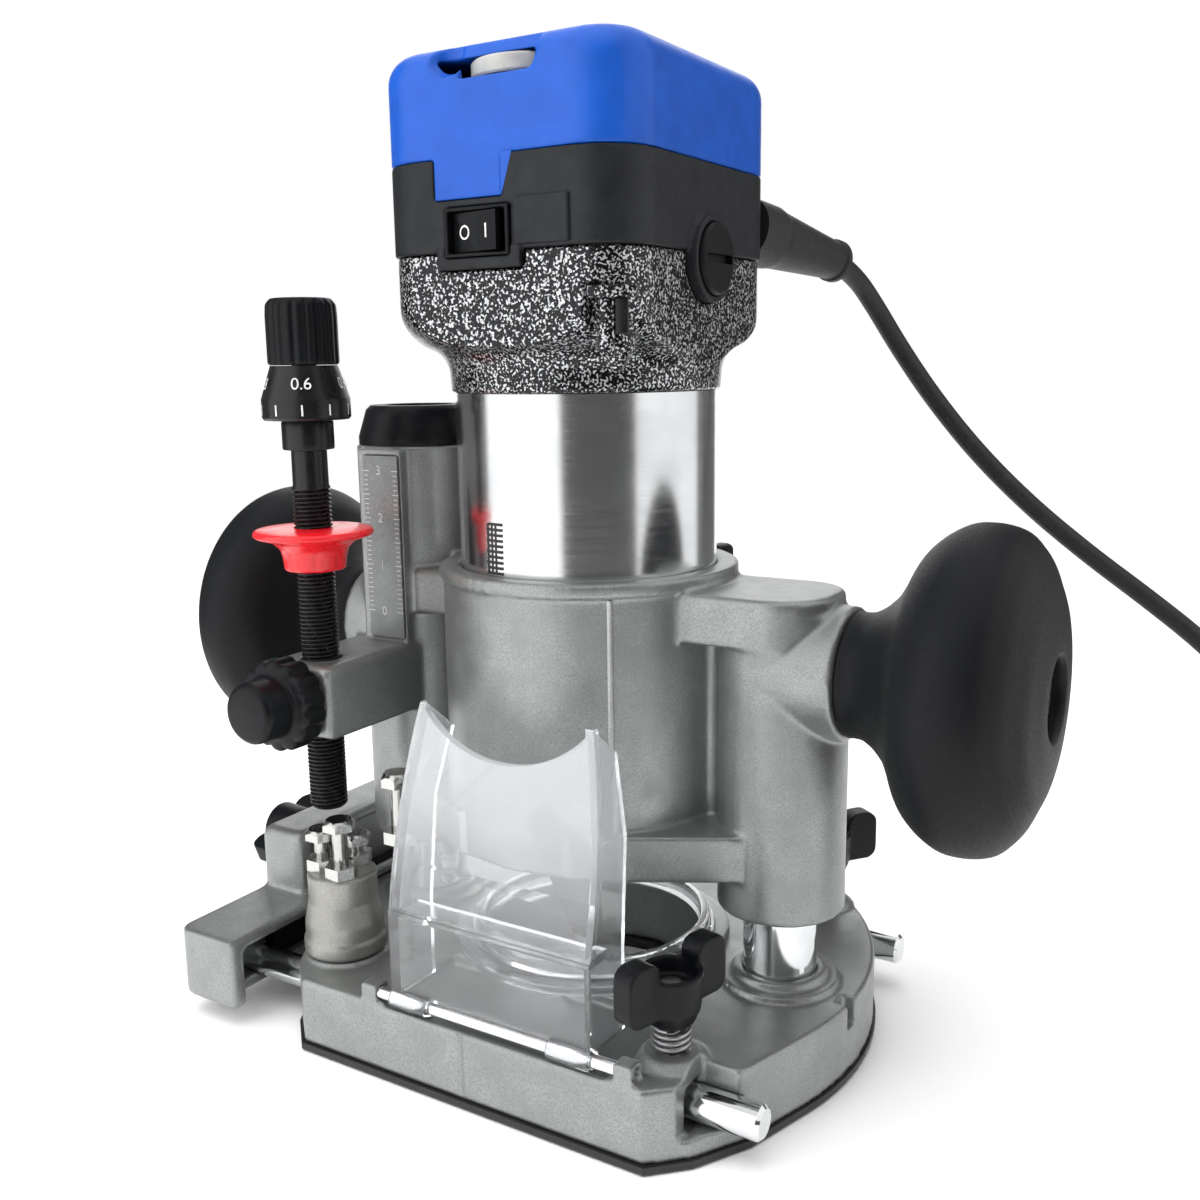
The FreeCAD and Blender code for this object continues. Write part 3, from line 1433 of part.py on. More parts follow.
def strain_relief():
    """The tapered rubber boot where the lead leaves the casing."""
    tip = Vector(*ROUTE[0])
    axis = tip - RELIEF_START
    length = f"{axis.Length:.4f}"
    start = [f"{part}" for part in RELIEF_START]
    return turned("relief_turned", [
        ("0", "0"), ("8.2", "0"), ("8.2", "10"), ("7.6", "13"), ("5.3", f"{length} - 3"),
        ("5.9", f"{length} - 2.4"),
        ("5.9", f"{length} - 0.8"), ("5.1", length), ("0", length),
    ], start, Rotation(Vector(0, 0, 1), axis))


def cord_coil():
    """The outer shape of the wound lead: a round ring with soft corners."""
    inner = f"{COIL_RADIUS - COIL_HALF_WIDTH}"
    outer = f"{COIL_RADIUS + COIL_HALF_WIDTH}"
    top = f"{COIL_HEIGHT}"
    ring = turned("coil_turned", [(inner, "0"), (outer, "0"), (outer, top), (inner, top)],
                  (str(COIL_CENTRE.x), str(COIL_CENTRE.y), "0"))
    return rounded("coil_soft", ring, "2.8", lambda edge: True)


def plug():
    """A two-pin mains plug with a tapered rear, lying beside the coil."""
    nose = box("plug_nose", ("-6.5", "-17", "0"), ("6.5", "0", "13"))
    soft = rounded("plug_soft", nose, "3", lambda edge: edge.BoundBox.YLength > 16)
    tail = cone("plug_tail", "6", "3.6", "20", ("0", "-0.5", "6.5"), "y")
    pins = [
        cylinder(f"plug_pin_{side}", "2", "19", (f"{side} * 4", "-36", "6.5"), "y")
        for side in (-1, 1)
    ]
    flat_pins = fuse("plug_body", soft, tail, *pins)
    flat_pins.Placement = Placement(PLUG_PLACE, Rotation(Vector(0, 0, 1), -80))
    return flat_pins


# ---------------------------------------------------------------- build and write

BUILDERS = {
    "base_casting": base_casting,
    "sole_plate": sole_plate,
    "sole_screws": sole_screws,
    "sight_ring": sight_ring,
    "left_post": lambda: post("left_post", -1, "left_post_top"),
    "right_post": lambda: post("right_post", 1, "right_post_top"),
    "plunge_springs": plunge_springs,
    "base_studs": base_studs,
    "turret_drum": turret_drum,
    "stop_screws": stop_screws,
    "shield_pin": shield_pin,
    "chip_shield": chip_shield,
    "guide_bar": guide_bar,
    "guide_face": guide_face,
    "guide_rods": guide_rods,
    "guide_knob": guide_knob,
    "front_wing_knob": lambda: wing_knob(
        "front_wing", ("wing_x", "-rod_y", "28.6"), Rotation(Vector(0, 0, 1), 74),
    ),
    "rear_wing_knob": lambda: wing_knob(
        "rear_wing", ("wing_x", "rod_y", "28.6"), Rotation(Vector(0, 0, 1), 52),
    ),
    "front_clamp_screw": lambda: clamp_screw("front_clamp", -1),
    "rear_clamp_screw": lambda: clamp_screw("rear_clamp", 1),
    "wing_springs": wing_springs,
    "carriage_casting": carriage_casting,
    "carriage_bushes": carriage_bushes,
    "post_cap": post_cap,
    "depth_scale": depth_scale,
    "left_handle": lambda: handle(-1),
    "right_handle": lambda: handle(1),
    "handle_bolts": handle_bolts,
    "lock_lever": lock_lever,
    "collar_screw": collar_screw,
    "collar_lever": collar_lever,
    "depth_rod": depth_rod,
    "rod_flange": rod_flange,
    "dial_ring": dial_ring,
    "adjust_knob": adjust_knob,
    "rod_clamp_knob": rod_clamp_knob,
    "motor_tube": motor_tube,
    "upper_casting": upper_casting,
    "casing_screws": casing_screws,
    "middle_band": middle_band,
    "top_cover": top_cover,
    "speed_dial": speed_dial,
    "switch_frame": switch_frame,
    "switch_rocker": switch_rocker,
    "brush_caps": brush_caps,
    "brush_holders": brush_holders,
    "carbon_brushes": carbon_brushes,
    "stator_core": stator_core,
    "stator_coils": stator_coils,
    "armature": armature,
    "spindle": spindle,
    "fan": fan,
    "bearings": bearings,
    "collet": collet,
    "collet_nut": collet_nut,
    "control_board": control_board,
    "strain_relief": strain_relief,
    "cord_lead": cord_lead,
    "cord_coil": cord_coil,
    "plug": plug,
}

for name, build in BUILDERS.items():
    node(name, build())
doc.recompute()

for item in doc.Objects:
    if {"Invalid", "Error"} & set(item.State):
        raise RuntimeError(f"{item.Name} failed: {item.State}")
os.makedirs("parts", exist_ok=True)
for item in nodes:
    shape = item.Shape
    if shape.isNull() or not shape.isValid():
        raise RuntimeError(f"{item.Label} has no valid shape")
    shape.exportStep(f"parts/{item.Label}.step")
    print(f"{item.Label}: {len(shape.Solids)} solids, {shape.Volume / 1000:.1f} cm3")
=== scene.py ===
import json
import math

import bmesh
import bpy
from mathutils import Matrix, Vector

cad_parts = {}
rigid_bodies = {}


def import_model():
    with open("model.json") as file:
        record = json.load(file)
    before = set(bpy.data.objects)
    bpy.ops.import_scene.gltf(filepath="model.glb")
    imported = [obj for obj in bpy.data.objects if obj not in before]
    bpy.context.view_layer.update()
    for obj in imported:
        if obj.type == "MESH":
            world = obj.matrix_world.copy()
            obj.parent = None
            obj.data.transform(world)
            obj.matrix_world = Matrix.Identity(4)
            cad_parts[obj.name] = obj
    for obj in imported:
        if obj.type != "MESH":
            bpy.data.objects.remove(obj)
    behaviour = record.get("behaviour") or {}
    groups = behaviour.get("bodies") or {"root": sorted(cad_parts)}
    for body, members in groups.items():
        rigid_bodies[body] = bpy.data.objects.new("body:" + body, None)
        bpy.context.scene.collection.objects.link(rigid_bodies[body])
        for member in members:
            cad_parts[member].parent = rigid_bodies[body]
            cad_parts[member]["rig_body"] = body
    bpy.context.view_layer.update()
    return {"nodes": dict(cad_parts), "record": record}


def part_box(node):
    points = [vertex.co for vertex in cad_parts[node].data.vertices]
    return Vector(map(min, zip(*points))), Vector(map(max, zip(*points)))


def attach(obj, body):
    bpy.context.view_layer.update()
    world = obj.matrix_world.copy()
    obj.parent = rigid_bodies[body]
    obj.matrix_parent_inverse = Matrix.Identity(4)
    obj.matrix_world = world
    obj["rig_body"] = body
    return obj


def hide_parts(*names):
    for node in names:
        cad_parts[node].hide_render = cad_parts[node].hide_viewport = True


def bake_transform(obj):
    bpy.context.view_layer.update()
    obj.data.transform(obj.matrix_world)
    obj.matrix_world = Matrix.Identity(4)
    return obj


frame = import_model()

# The looks of a trim router in a plunge base.  Sizes are in millimetres where a name or a comment
# says so, and MM turns them into Blender's metres.  +X runs along the two handles, +Z is up.

MM = 0.001
SCENE = bpy.context.scene.collection


def mm(*values):
    """A point given in millimetres."""
    return Vector(values) * MM


def node_box(name):
    """The lowest and highest corner of a CAD node, in millimetres."""
    low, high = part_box(name)
    return low / MM, high / MM


def node_centre(name):
    low, high = node_box(name)
    return (low + high) / 2


# ---------------------------------------------------------------- camera

CAMERA_PLACE = mm(165.49, -265.29, 170.58)
CAMERA_AZIMUTH = math.radians(31.467)
CAMERA_PITCH = math.radians(10.967)
CAMERA_ROLL = math.radians(-0.799)
CAMERA_LENS = 37.06


def add_camera():
    data = bpy.data.cameras.new("camera")
    data.lens = CAMERA_LENS
    data.clip_start = 0.01
    camera = bpy.data.objects.new("camera", data)
    SCENE.objects.link(camera)
    turn = Matrix.Rotation(CAMERA_AZIMUTH, 4, "Z")
    lean = Matrix.Rotation(math.radians(90) - CAMERA_PITCH, 4, "X")
    roll = Matrix.Rotation(CAMERA_ROLL, 4, "Z")
    camera.matrix_world = Matrix.Translation(CAMERA_PLACE) @ turn @ lean @ roll
    bpy.context.scene.camera = camera


add_camera()


# ---------------------------------------------------------------- mesh tools


def add_object(name, mesh, body, smooth=True):
    """Link a mesh as a piece that rides on a CAD body."""
    piece = bpy.data.objects.new(name, mesh)
    SCENE.objects.link(piece)
    for polygon in mesh.polygons:
        polygon.use_smooth = smooth
    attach(piece, body)
    return piece


def mesh_from(name, vertices, faces):
    mesh = bpy.data.meshes.new(name)
    mesh.from_pydata([tuple(vertex) for vertex in vertices], [], faces)
    mesh.validate()
    mesh.update()
    return mesh


def facing(axis):
    """The rotation that turns +Z to an axis given by name."""
    turns = {
        "z": Matrix.Identity(4), "x": Matrix.Rotation(math.radians(90), 4, "Y"),
        "-x": Matrix.Rotation(math.radians(-90), 4, "Y"), "-y": Matrix.Rotation(math.radians(90), 4, "X"),
        "y": Matrix.Rotation(math.radians(-90), 4, "X"),
    }
    return turns[axis]


def lathe(name, profile, centre, axis="z", steps=96, ripple=None):
    """A mesh turned from (radius, height) points in millimetres, closed at both ends.
    ripple(angle, number, radius, height) returns how far a ring's point stands out."""
    place = Matrix.Translation(mm(*centre)) @ facing(axis)
    vertices, faces = [], []
    for number, (radius, height) in enumerate(profile):
        for step in range(steps):
            angle = math.tau * step / steps
            reach = radius + (ripple(angle, number, radius, height) if ripple else 0)
            vertices.append(place @ mm(reach * math.cos(angle), reach * math.sin(angle), height))
    for ring in range(len(profile) - 1):
        for step in range(steps):
            after = (step + 1) % steps
            low, high = ring * steps, (ring + 1) * steps
            faces.append((low + step, low + after, high + after, high + step))
    faces.append(tuple(range(steps - 1, -1, -1)))
    faces.append(tuple(range((len(profile) - 1) * steps, len(profile) * steps)))
    return mesh_from(name, vertices, faces)


def eased(profile, radius, parts=3):
    """The same outline with each corner cut back by up to a radius and rounded."""
    points = [Vector(point) for point in profile]
    result = [points[0]]
    for before, corner, after in zip(points, points[1:], points[2:]):
        into, out = before - corner, after - corner
        reach = min(radius, into.length * 0.45, out.length * 0.45)
        start = corner + into.normalized() * reach
        end = corner + out.normalized() * reach
        for part in range(parts + 1):
            share = part / parts
            result.append(start.lerp(corner, share).lerp(corner.lerp(end, share), share))
    return result + [points[-1]]


def autosmooth(piece, degrees=35):
    """Keep edges sharper than an angle crisp under smooth shading."""
    bm = bmesh.new()
    bm.from_mesh(piece.data)
    limit = math.radians(degrees)
    for edge in bm.edges:
        edge.smooth = len(edge.link_faces) == 2 and edge.calc_face_angle(0) < limit
    bm.to_mesh(piece.data)
    bm.free()
    return piece


def finished_mesh(piece):
    """The piece's mesh with its modifiers applied."""
    graph = bpy.context.evaluated_depsgraph_get()
    return bpy.data.meshes.new_from_object(piece.evaluated_get(graph))


def welded_copy(node):
    """A copy of a CAD node's mesh with its split corners joined again."""
    mesh = frame["nodes"][node].data.copy()
    bm = bmesh.new()
    bm.from_mesh(mesh)
    bmesh.ops.remove_doubles(bm, verts=bm.verts, dist=0.002 * MM)
    bm.to_mesh(mesh)
    bm.free()
    return mesh


def soft_cast(node, voxel, rounds):
    """A copy of a CAD node with the rounded edges of a casting or a moulding."""
    piece = bpy.data.objects.new(node + "_soft", welded_copy(node))
    SCENE.objects.link(piece)
    remesh = piece.modifiers.new("remesh", "REMESH")
    remesh.mode = "VOXEL"
    remesh.voxel_size = voxel * MM
    smooth = piece.modifiers.new("smooth", "SMOOTH")
    smooth.factor = 0.5
    smooth.iterations = rounds
    mesh = finished_mesh(piece)
    bpy.data.objects.remove(piece)
    mesh.materials.clear()
    cast = add_object(node + "_soft", mesh, frame["nodes"][node]["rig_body"])
    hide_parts(node)
    return cast


# ---------------------------------------------------------------- lead

CORD_RADIUS = 2.9
ROUTE = [
    (34.5, 80.0, 197.2), (36.0, 90.6, 194.2), (39.5, 99.0, 185.6), (45.0, 105.8, 173.6),
    (54.0, 111.6, 158.5), (67.0, 116.4, 141.5), (83.0, 119.2, 125.6), (100.5, 120.8, 111.6),
    (117.8, 121.6, 99.4), (133.5, 121.8, 87.6), (147.5, 121.4, 74.2), (159.0, 120.6, 58.8),
    (168.6, 119.9, 42.2), (178.8, 119.8, 26.0), (191.5, 120.9, 13.0), (207.0, 122.6, 5.0),
    (223.0, 121.4, 2.95),
]
COIL_CENTRE = Vector((209.5, 75.6))
COIL_ROWS = [40.7, 34.9, 29.1, 23.3, 26.2, 32.0, 37.8]
COIL_TURNS = 7.375
COIL_STEPS = 16
LOWER_ROW = 2.95
UPPER_ROW = 8.7
SHIFT_SHARE = 0.28
LEAVING_TURN = 7.06
LEAVING_REACH = 9.2
FIRST_STEP_REACH = 2.4
PLUG_TAIL = [(221.5, 28.4, 4.9), (213.5, 26.2, 6.3), (206.5, 24.9, 6.5)]


def ease(value):
    value = min(max(value, 0.0), 1.0)
    return value * value * (3 - 2 * value)


def coil_place(turn):
    """Radius and height of the lead after a number of turns of the coil, in millimetres."""
    row = min(int(turn), len(COIL_ROWS) - 1)
    radius = COIL_ROWS[row]
    height = LOWER_ROW if row < 4 else UPPER_ROW
    shift = (turn - row - (1 - SHIFT_SHARE)) / SHIFT_SHARE
    if row + 1 < len(COIL_ROWS) and shift > 0:
        climbs = row == 3
        outward = ease(shift * 2 - 1) if climbs else ease(shift)
        radius += (COIL_ROWS[row + 1] - radius) * outward
        if climbs:
            height += (UPPER_ROW - LOWER_ROW) * ease(shift * 2)
    leaving = turn - LEAVING_TURN
    if leaving > 0:
        radius += LEAVING_REACH * ease(leaving / 0.2)
        height -= (UPPER_ROW - LOWER_ROW) * ease((leaving - 0.07) / 0.2)
    return radius, height


def coil_points():
    """The turns of the coil, clockwise from the route's end, as points of the lead's own line."""
    last = Vector(ROUTE[-1][:2]) - COIL_CENTRE
    first_angle = math.atan2(last.y, last.x)
    widen = 1 / math.cos(math.pi / COIL_STEPS) ** 0.75
    points = []
    for step in range(1, round(COIL_TURNS * COIL_STEPS) + 1):
        turn = step / COIL_STEPS
        radius, height = coil_place(turn)
        if step == 1:
            radius += FIRST_STEP_REACH
        angle = first_angle - math.tau * turn
        points.append((
            COIL_CENTRE.x + radius * widen * math.cos(angle),
            COIL_CENTRE.y + radius * widen * math.sin(angle), height,
        ))
    return points


def add_lead():
    """The lead: one smooth curve from the strain relief to the plug, made into a tube."""
    points = ROUTE + coil_points() + PLUG_TAIL
    curve = bpy.data.curves.new("lead_line", "CURVE")
    curve.dimensions = "3D"
    spline = curve.splines.new("NURBS")
    spline.points.add(len(points) - 1)
    for point, place in zip(spline.points, points):
        point.co = (*mm(*place), 1)
    spline.order_u = 3
    spline.use_endpoint_u = True
    curve.resolution_u = 8
    line = bpy.data.objects.new("lead_line", curve)
    SCENE.objects.link(line)
    path = [vertex.co.copy() for vertex in finished_mesh(line).vertices]
    curve.bevel_depth = CORD_RADIUS * MM
    curve.bevel_resolution = 4
    curve.use_fill_caps = True
    mesh = finished_mesh(line)
    bpy.data.objects.remove(line)
    lead = bpy.data.objects.new("lead", mesh)
    SCENE.objects.link(lead)
    for polygon in mesh.polygons:
        polygon.use_smooth = True
    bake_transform(lead)
    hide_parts("cord_lead", "cord_coil")
    return lead, path


LEAD, LEAD_PATH = add_lead()


# ---------------------------------------------------------------- node tools


class Finish:
    """A Principled material with short helpers for the textures that feed it."""

    def __init__(self, name, **sockets):
        self.material = bpy.data.materials.new(name)
        self.material.use_nodes = True
        self.tree = self.material.node_tree
        self.shader = self.tree.nodes["Principled BSDF"]
        self.coords = self.tree.nodes.new("ShaderNodeTexCoord")
        for socket, value in sockets.items():
            self.shader.inputs[socket.replace("_", " ")].default_value = value

    def node(self, kind, **inputs):
        made = self.tree.nodes.new("ShaderNode" + kind)
        for socket, value in inputs.items():
            self.feed(value, made.inputs[socket.replace("_", " ")])
        return made

    def feed(self, value, socket):
        if isinstance(value, bpy.types.NodeSocket):
            self.tree.links.new(value, socket)
        else:
            socket.default_value = value

    def stretched(self, x, y, z):
        """Object coordinates scaled along each axis, for brushed or drawn marks."""
        mapping = self.node("Mapping", Vector=self.coords.outputs["Object"])
        mapping.inputs["Scale"].default_value = (x, y, z)
        return mapping.outputs["Vector"]

    def noise(self, size, detail=2.0, roughness=0.5, vector=None):
        """Noise whose features are about a size in millimetres."""
        made = self.node(
            "TexNoise", Vector=vector or self.coords.outputs["Object"], Scale=1 / (size * MM),
            Detail=detail, Roughness=roughness,
        )
        return made.outputs["Fac"]

    def ramp(self, factor, *stops):
        """Colours or grey values along a factor; each stop is (position, value)."""
        made = self.node("ValToRGB", Fac=factor)
        elements = made.color_ramp.elements
        while len(elements) < len(stops):
            elements.new(0.5)
        for element, (position, value) in zip(elements, stops):
            element.position = position
            element.color = (value, value, value, 1) if isinstance(value, (int, float)) else (*value, 1)
        return made.outputs["Color"]

    def mix(self, factor, first, second):
        made = self.tree.nodes.new("ShaderNodeMix")
        made.data_type = "RGBA"
        self.feed(factor, made.inputs[0])
        for value, socket in ((first, made.inputs[6]), (second, made.inputs[7])):
            self.feed((*value, 1) if isinstance(value, tuple) else value, socket)
        return made.outputs[2]

    def bump(self, *layers):
        """Bumps stacked on each other; each layer is (height, strength, depth in millimetres)."""
        normal = None
        for height, strength, depth in layers:
            made = self.node("Bump", Height=height, Strength=strength, Distance=depth * MM)
            if normal:
                self.tree.links.new(normal, made.inputs["Normal"])
            normal = made.outputs["Normal"]
        self.tree.links.new(normal, self.shader.inputs["Normal"])
        return self

    def set(self, **inputs):
        for socket, value in inputs.items():
            self.feed(value, self.shader.inputs[socket.replace("_", " ")])
        return self


# ---------------------------------------------------------------- materials


def painted_casting(name, light, dark):
    """Satin silver-grey paint on a casting: a fine sandy grain and slow changes of tone."""
    finish = Finish(name, Metallic=0.78, Coat_Weight=0.08, Coat_Roughness=0.3)
    tone = finish.ramp(finish.noise(9, 3), (0.3, dark), (0.7, light))
    grain = finish.noise(0.34, 2)
    fine = finish.mix(finish.ramp(grain, (0.34, 0.0), (0.6, 1.0)), tuple(0.85 * part for part in dark), tone)
    rough = finish.ramp(finish.noise(4, 4), (0.3, 0.36), (0.7, 0.46))
    finish.set(Base_Color=fine, Roughness=rough)
    finish.bump((finish.noise(2.4, 3), 0.2, 0.12), (grain, 0.32, 0.05))
    return finish.material


def hammered_casting(name):
    """Dark hammered enamel: silvery worm-like veins over near-black."""
    finish = Finish(name, Metallic=0.75, Coat_Weight=0.3, Coat_Roughness=0.18)
    veins = finish.noise(0.58, 1.5, 0.4)
    speck = finish.noise(0.3, 2)
    silver = finish.ramp(veins, (0.55, 0.0), (0.59, 1.0))
    colour = finish.mix(silver, (0.006, 0.0065, 0.008), (0.72, 0.73, 0.75))
    finish.set(
        Base_Color=finish.mix(finish.ramp(speck, (0.5, 0.0), (0.66, 0.7)), colour, (0.03, 0.031, 0.034)),
        Roughness=finish.ramp(veins, (0.35, 0.24), (0.7, 0.4)),
    )
    finish.bump((silver, 0.5, 0.16), (speck, 0.3, 0.05))
    return finish.material


def brushed_tube(name):
    """Turned aluminium: fine rings round the tube and faint streaks."""
    finish = Finish(name, Metallic=1.0, Anisotropic=0.2)
    rings = finish.noise(3.0, 4, 0.7, finish.stretched(0.25, 0.25, 28))
    smudges = finish.noise(14, 2)
    finish.set(
        Base_Color=finish.ramp(smudges, (0.3, (0.66, 0.67, 0.68)), (0.7, (0.8, 0.81, 0.82))),
        Roughness=finish.ramp(rings, (0.3, 0.12), (0.7, 0.24)),
    )
    finish.bump((rings, 0.06, 0.02))
    return finish.material


def moulded(name, colour, roughness=0.45, grain=0.35, grain_depth=0.05, coat=0.0, spread=0.25, specular=0.5):
    """Moulded plastic: a fine etched grain, slow tone changes and uneven gloss."""
    finish = Finish(name, Coat_Weight=coat, Coat_Roughness=0.18, Specular_IOR_Level=specular)
    darker = tuple(channel * (1 - spread) for channel in colour)
    lighter = tuple(min(1.0, channel * (1 + spread)) for channel in colour)
    etched = finish.noise(grain, 2)
    finish.set(
        Base_Color=finish.ramp(finish.noise(6, 3), (0.3, darker), (0.7, lighter)),
        Roughness=finish.ramp(finish.noise(2.5, 4), (0.3, roughness - 0.06), (0.7, roughness + 0.07)),
    )
    finish.bump((etched, 0.35, grain_depth))
    return finish.material


def textured_grip(name):
    """Black handle plastic with a coarse spark-eroded texture and a few pale scuffs."""
    finish = Finish(name, Specular_IOR_Level=0.2)
    pits = finish.noise(0.55, 3, 0.6)
    scuffs = finish.ramp(finish.noise(1.1, 5, 0.75), (0.66, 0.0), (0.74, 0.5))
    finish.set(
        Base_Color=finish.mix(scuffs, (0.0045, 0.005, 0.006), (0.06, 0.06, 0.065)),
        Roughness=finish.ramp(pits, (0.3, 0.42), (0.7, 0.62)),
    )
    finish.bump((pits, 0.45, 0.1))
    return finish.material


def clear_plastic(name):
    """Clear polycarbonate, a little milky, with fine scratches; towards its top it lets less light through
    and looks whiter, a painted reflection of the bright surroundings.
    """
    finish = Finish(name, Base_Color=(0.93, 0.945, 0.96, 1), IOR=1.45, Roughness=0.05)
    height = finish.node("SeparateXYZ", Vector=finish.coords.outputs["Object"]).outputs["Z"]
    # Painted reflection: the top is made less clear, so it shows whiter.
    upper = finish.node("MapRange", Value=height, From_Min=0.04, From_Max=0.075).outputs["Result"]
    finish.set(Transmission_Weight=finish.ramp(upper, (0.0, 0.95), (1.0, 0.74)))
    finish.bump((finish.noise(22, 2), 0.12, 0.4), (finish.noise(3, 2), 0.04, 0.1))
    return finish.material


def chromed(name):
    finish = Finish(name, Metallic=1.0)
    streaks = finish.noise(2.0, 3, 0.6, finish.stretched(0.3, 0.3, 0.3))
    finish.set(
        Base_Color=finish.ramp(streaks, (0.3, (0.74, 0.75, 0.76)), (0.7, (0.83, 0.84, 0.85))),
        Roughness=finish.ramp(streaks, (0.3, 0.06), (0.7, 0.14)),
    )
    finish.bump((finish.noise(5, 2), 0.05, 0.03))
    return finish.material


def metal(name, colour, roughness, spread=0.12, stretch=(1, 1, 1), size=0.8):
    """Machined, plated or wound metal: fine directional marks and uneven tone."""
    finish = Finish(name, Metallic=1.0)
    marks = finish.noise(size, 4, 0.6, finish.stretched(*stretch))
    darker = tuple(channel * (1 - spread) for channel in colour)
    finish.set(
        Base_Color=finish.ramp(marks, (0.3, darker), (0.7, colour)),
        Roughness=finish.ramp(marks, (0.3, roughness - 0.06), (0.7, roughness + 0.08)),
    )
    finish.bump((marks, 0.15, 0.03))
    return finish.material


def rubber(name, colour, size=0.5):
    finish = Finish(name, Specular_IOR_Level=0.4)
    grain = finish.noise(size, 3)
    dust = finish.ramp(finish.noise(5, 4, 0.65), (0.45, 0.0), (0.75, 0.4))
    finish.set(
        Base_Color=finish.mix(dust, colour, tuple(channel * 2.2 for channel in colour)),
        Roughness=finish.ramp(grain, (0.3, 0.42), (0.7, 0.6)),
    )
    finish.bump((grain, 0.25, 0.05))
    return finish.material


MATERIALS = {
    "cast": painted_casting("cast", (0.375, 0.388, 0.378), (0.295, 0.308, 0.3)),
    "cast_warm": painted_casting("cast_warm", (0.42, 0.415, 0.39), (0.34, 0.335, 0.315)),
    "sole": moulded("sole", (0.010, 0.010, 0.011), 0.38, 0.5),
    "zinc": metal("zinc", (0.62, 0.62, 0.60), 0.2),
    "clear": clear_plastic("clear"),
    "chrome": chromed("chrome"),
    "spring": metal("spring", (0.42, 0.42, 0.43), 0.34),
    "black_plastic": moulded("black_plastic", (0.003, 0.0035, 0.0045), 0.4, 0.3, 0.04, specular=0.22),
    "black_metal": moulded("black_metal", (0.006, 0.006, 0.007), 0.3, 0.3, 0.03, specular=0.4),
    "red": moulded("red", (0.78, 0.008, 0.016), 0.3, 0.4, 0.02, 0.3, 0.08),
    "tube": brushed_tube("tube"),
    "hammer": hammered_casting("hammer"),
    "band": moulded("band", (0.0105, 0.0115, 0.0135), 0.5, 0.4, 0.06, specular=0.3),
    "blue": moulded("blue", (0.005, 0.08, 0.45), 0.34, 0.4, 0.03, spread=0.08, specular=0.3),
    # The depth scale's pad has the casting's own paint; this darker copy of it is painted shade of the
    # recessed pad.
    "scale_plate": painted_casting("scale_plate", (0.27, 0.28, 0.28), (0.21, 0.22, 0.22)),
    "pale_plastic": moulded("pale_plastic", (0.36, 0.36, 0.35), 0.4),
    "bronze": metal("bronze", (0.52, 0.36, 0.18), 0.4),
    "copper": metal("copper", (0.62, 0.26, 0.11), 0.35, 0.3, (1, 1, 8)),
    "laminate": metal("laminate", (0.3, 0.3, 0.31), 0.45, 0.4, (0.4, 0.4, 30), 4),
    "steel": metal("steel", (0.5, 0.5, 0.51), 0.28),
    "carbon": moulded("carbon", (0.03, 0.03, 0.03), 0.6),
    "board": moulded("board", (0.02, 0.12, 0.05), 0.35),
    "rubber": rubber("rubber", (0.014, 0.014, 0.015)),
    "cord": rubber("cord", (0.012, 0.012, 0.013)),
}
GRIP = textured_grip("grip")
# A lighter copy of the casting paint: a painted highlight for the collar's mould line.
HIGHLIGHT_CAST = painted_casting("highlight_cast", (0.54, 0.55, 0.54), (0.42, 0.43, 0.42))
WHITE_MARK = moulded("white_mark", (0.75, 0.75, 0.73), 0.5)
# Pale grey: a painted highlight for the cast ticks and figures of the depth scale.
HIGHLIGHT_MARK = moulded("highlight_mark", (0.52, 0.52, 0.52), 0.5)
DARK_MARK = moulded("dark_mark", (0.012, 0.012, 0.012), 0.5)


def wear(piece, material):
    """Give a piece its one material."""
    piece.data.materials.clear()
    piece.data.materials.append(material)
    return piece


for subpart in frame["record"]["subparts"]:
    wear(frame["nodes"][subpart["node"]], MATERIALS[subpart["material_slot"]])
wear(LEAD, MATERIALS["cord"])


# ---------------------------------------------------------------- castings and mouldings


# Each row is a node, the voxel its copy is rebuilt with in millimetres, rounds of smoothing and a slot.
SOFT_PIECES = [
    ("base_casting", 0.55, 3, "cast"), ("carriage_casting", 0.65, 4, "cast"),
    ("guide_bar", 0.7, 12, "cast"), ("upper_casting", 0.55, 6, "hammer"),
    ("turret_drum", 0.3, 4, "cast_warm"), ("front_wing_knob", 0.3, 14, "black_plastic"),
    ("rear_wing_knob", 0.3, 14, "black_plastic"), ("guide_knob", 0.3, 12, "black_plastic"),
    ("top_cover", 0.5, 4, "blue"), ("middle_band", 0.5, 3, "band"),
]
CRISP_MOULDINGS = [
    "chip_shield", "collar_lever", "lock_lever", "post_cap", "switch_frame", "switch_rocker", "plug",
]
CRISP_SMALL_PARTS = [
    "stop_screws", "base_studs", "sight_ring", "speed_dial", "brush_caps", "collet_nut", "collar_screw",
]


def add_castings():
    """Softened copies of the castings and mouldings."""
    for node, voxel, rounds, slot in SOFT_PIECES:
        wear(soft_cast(node, voxel, rounds), MATERIALS[slot])


def crisp(width, nodes):
    """Break the sharp edges of CAD pieces by a width in millimetres."""
    for node in nodes:
        piece = frame["nodes"][node]
        weld = piece.modifiers.new("weld", "WELD")
        weld.merge_threshold = 0.002 * MM
        bevel = piece.modifiers.new("bevel", "BEVEL")
        bevel.width = width * MM
        bevel.segments = 2
        bevel.limit_method = "ANGLE"
        bevel.angle_limit = math.radians(40)
        bevel.use_clamp_overlap = True


add_castings()
crisp(0.35, CRISP_MOULDINGS)
crisp(0.2, CRISP_SMALL_PARTS)


# ---------------------------------------------------------------- marks

ACROSS = Vector((1, 0, 0))
UP = Vector((0, 0, 1))


def standing(origin, right, up):
    """A placement whose X, Y and Z axes are right, up and outward, at a point in millimetres."""
    outward = right.cross(up)
    place = Matrix((right, up, outward)).transposed().to_4x4()
    return Matrix.Translation(mm(*origin)) @ place


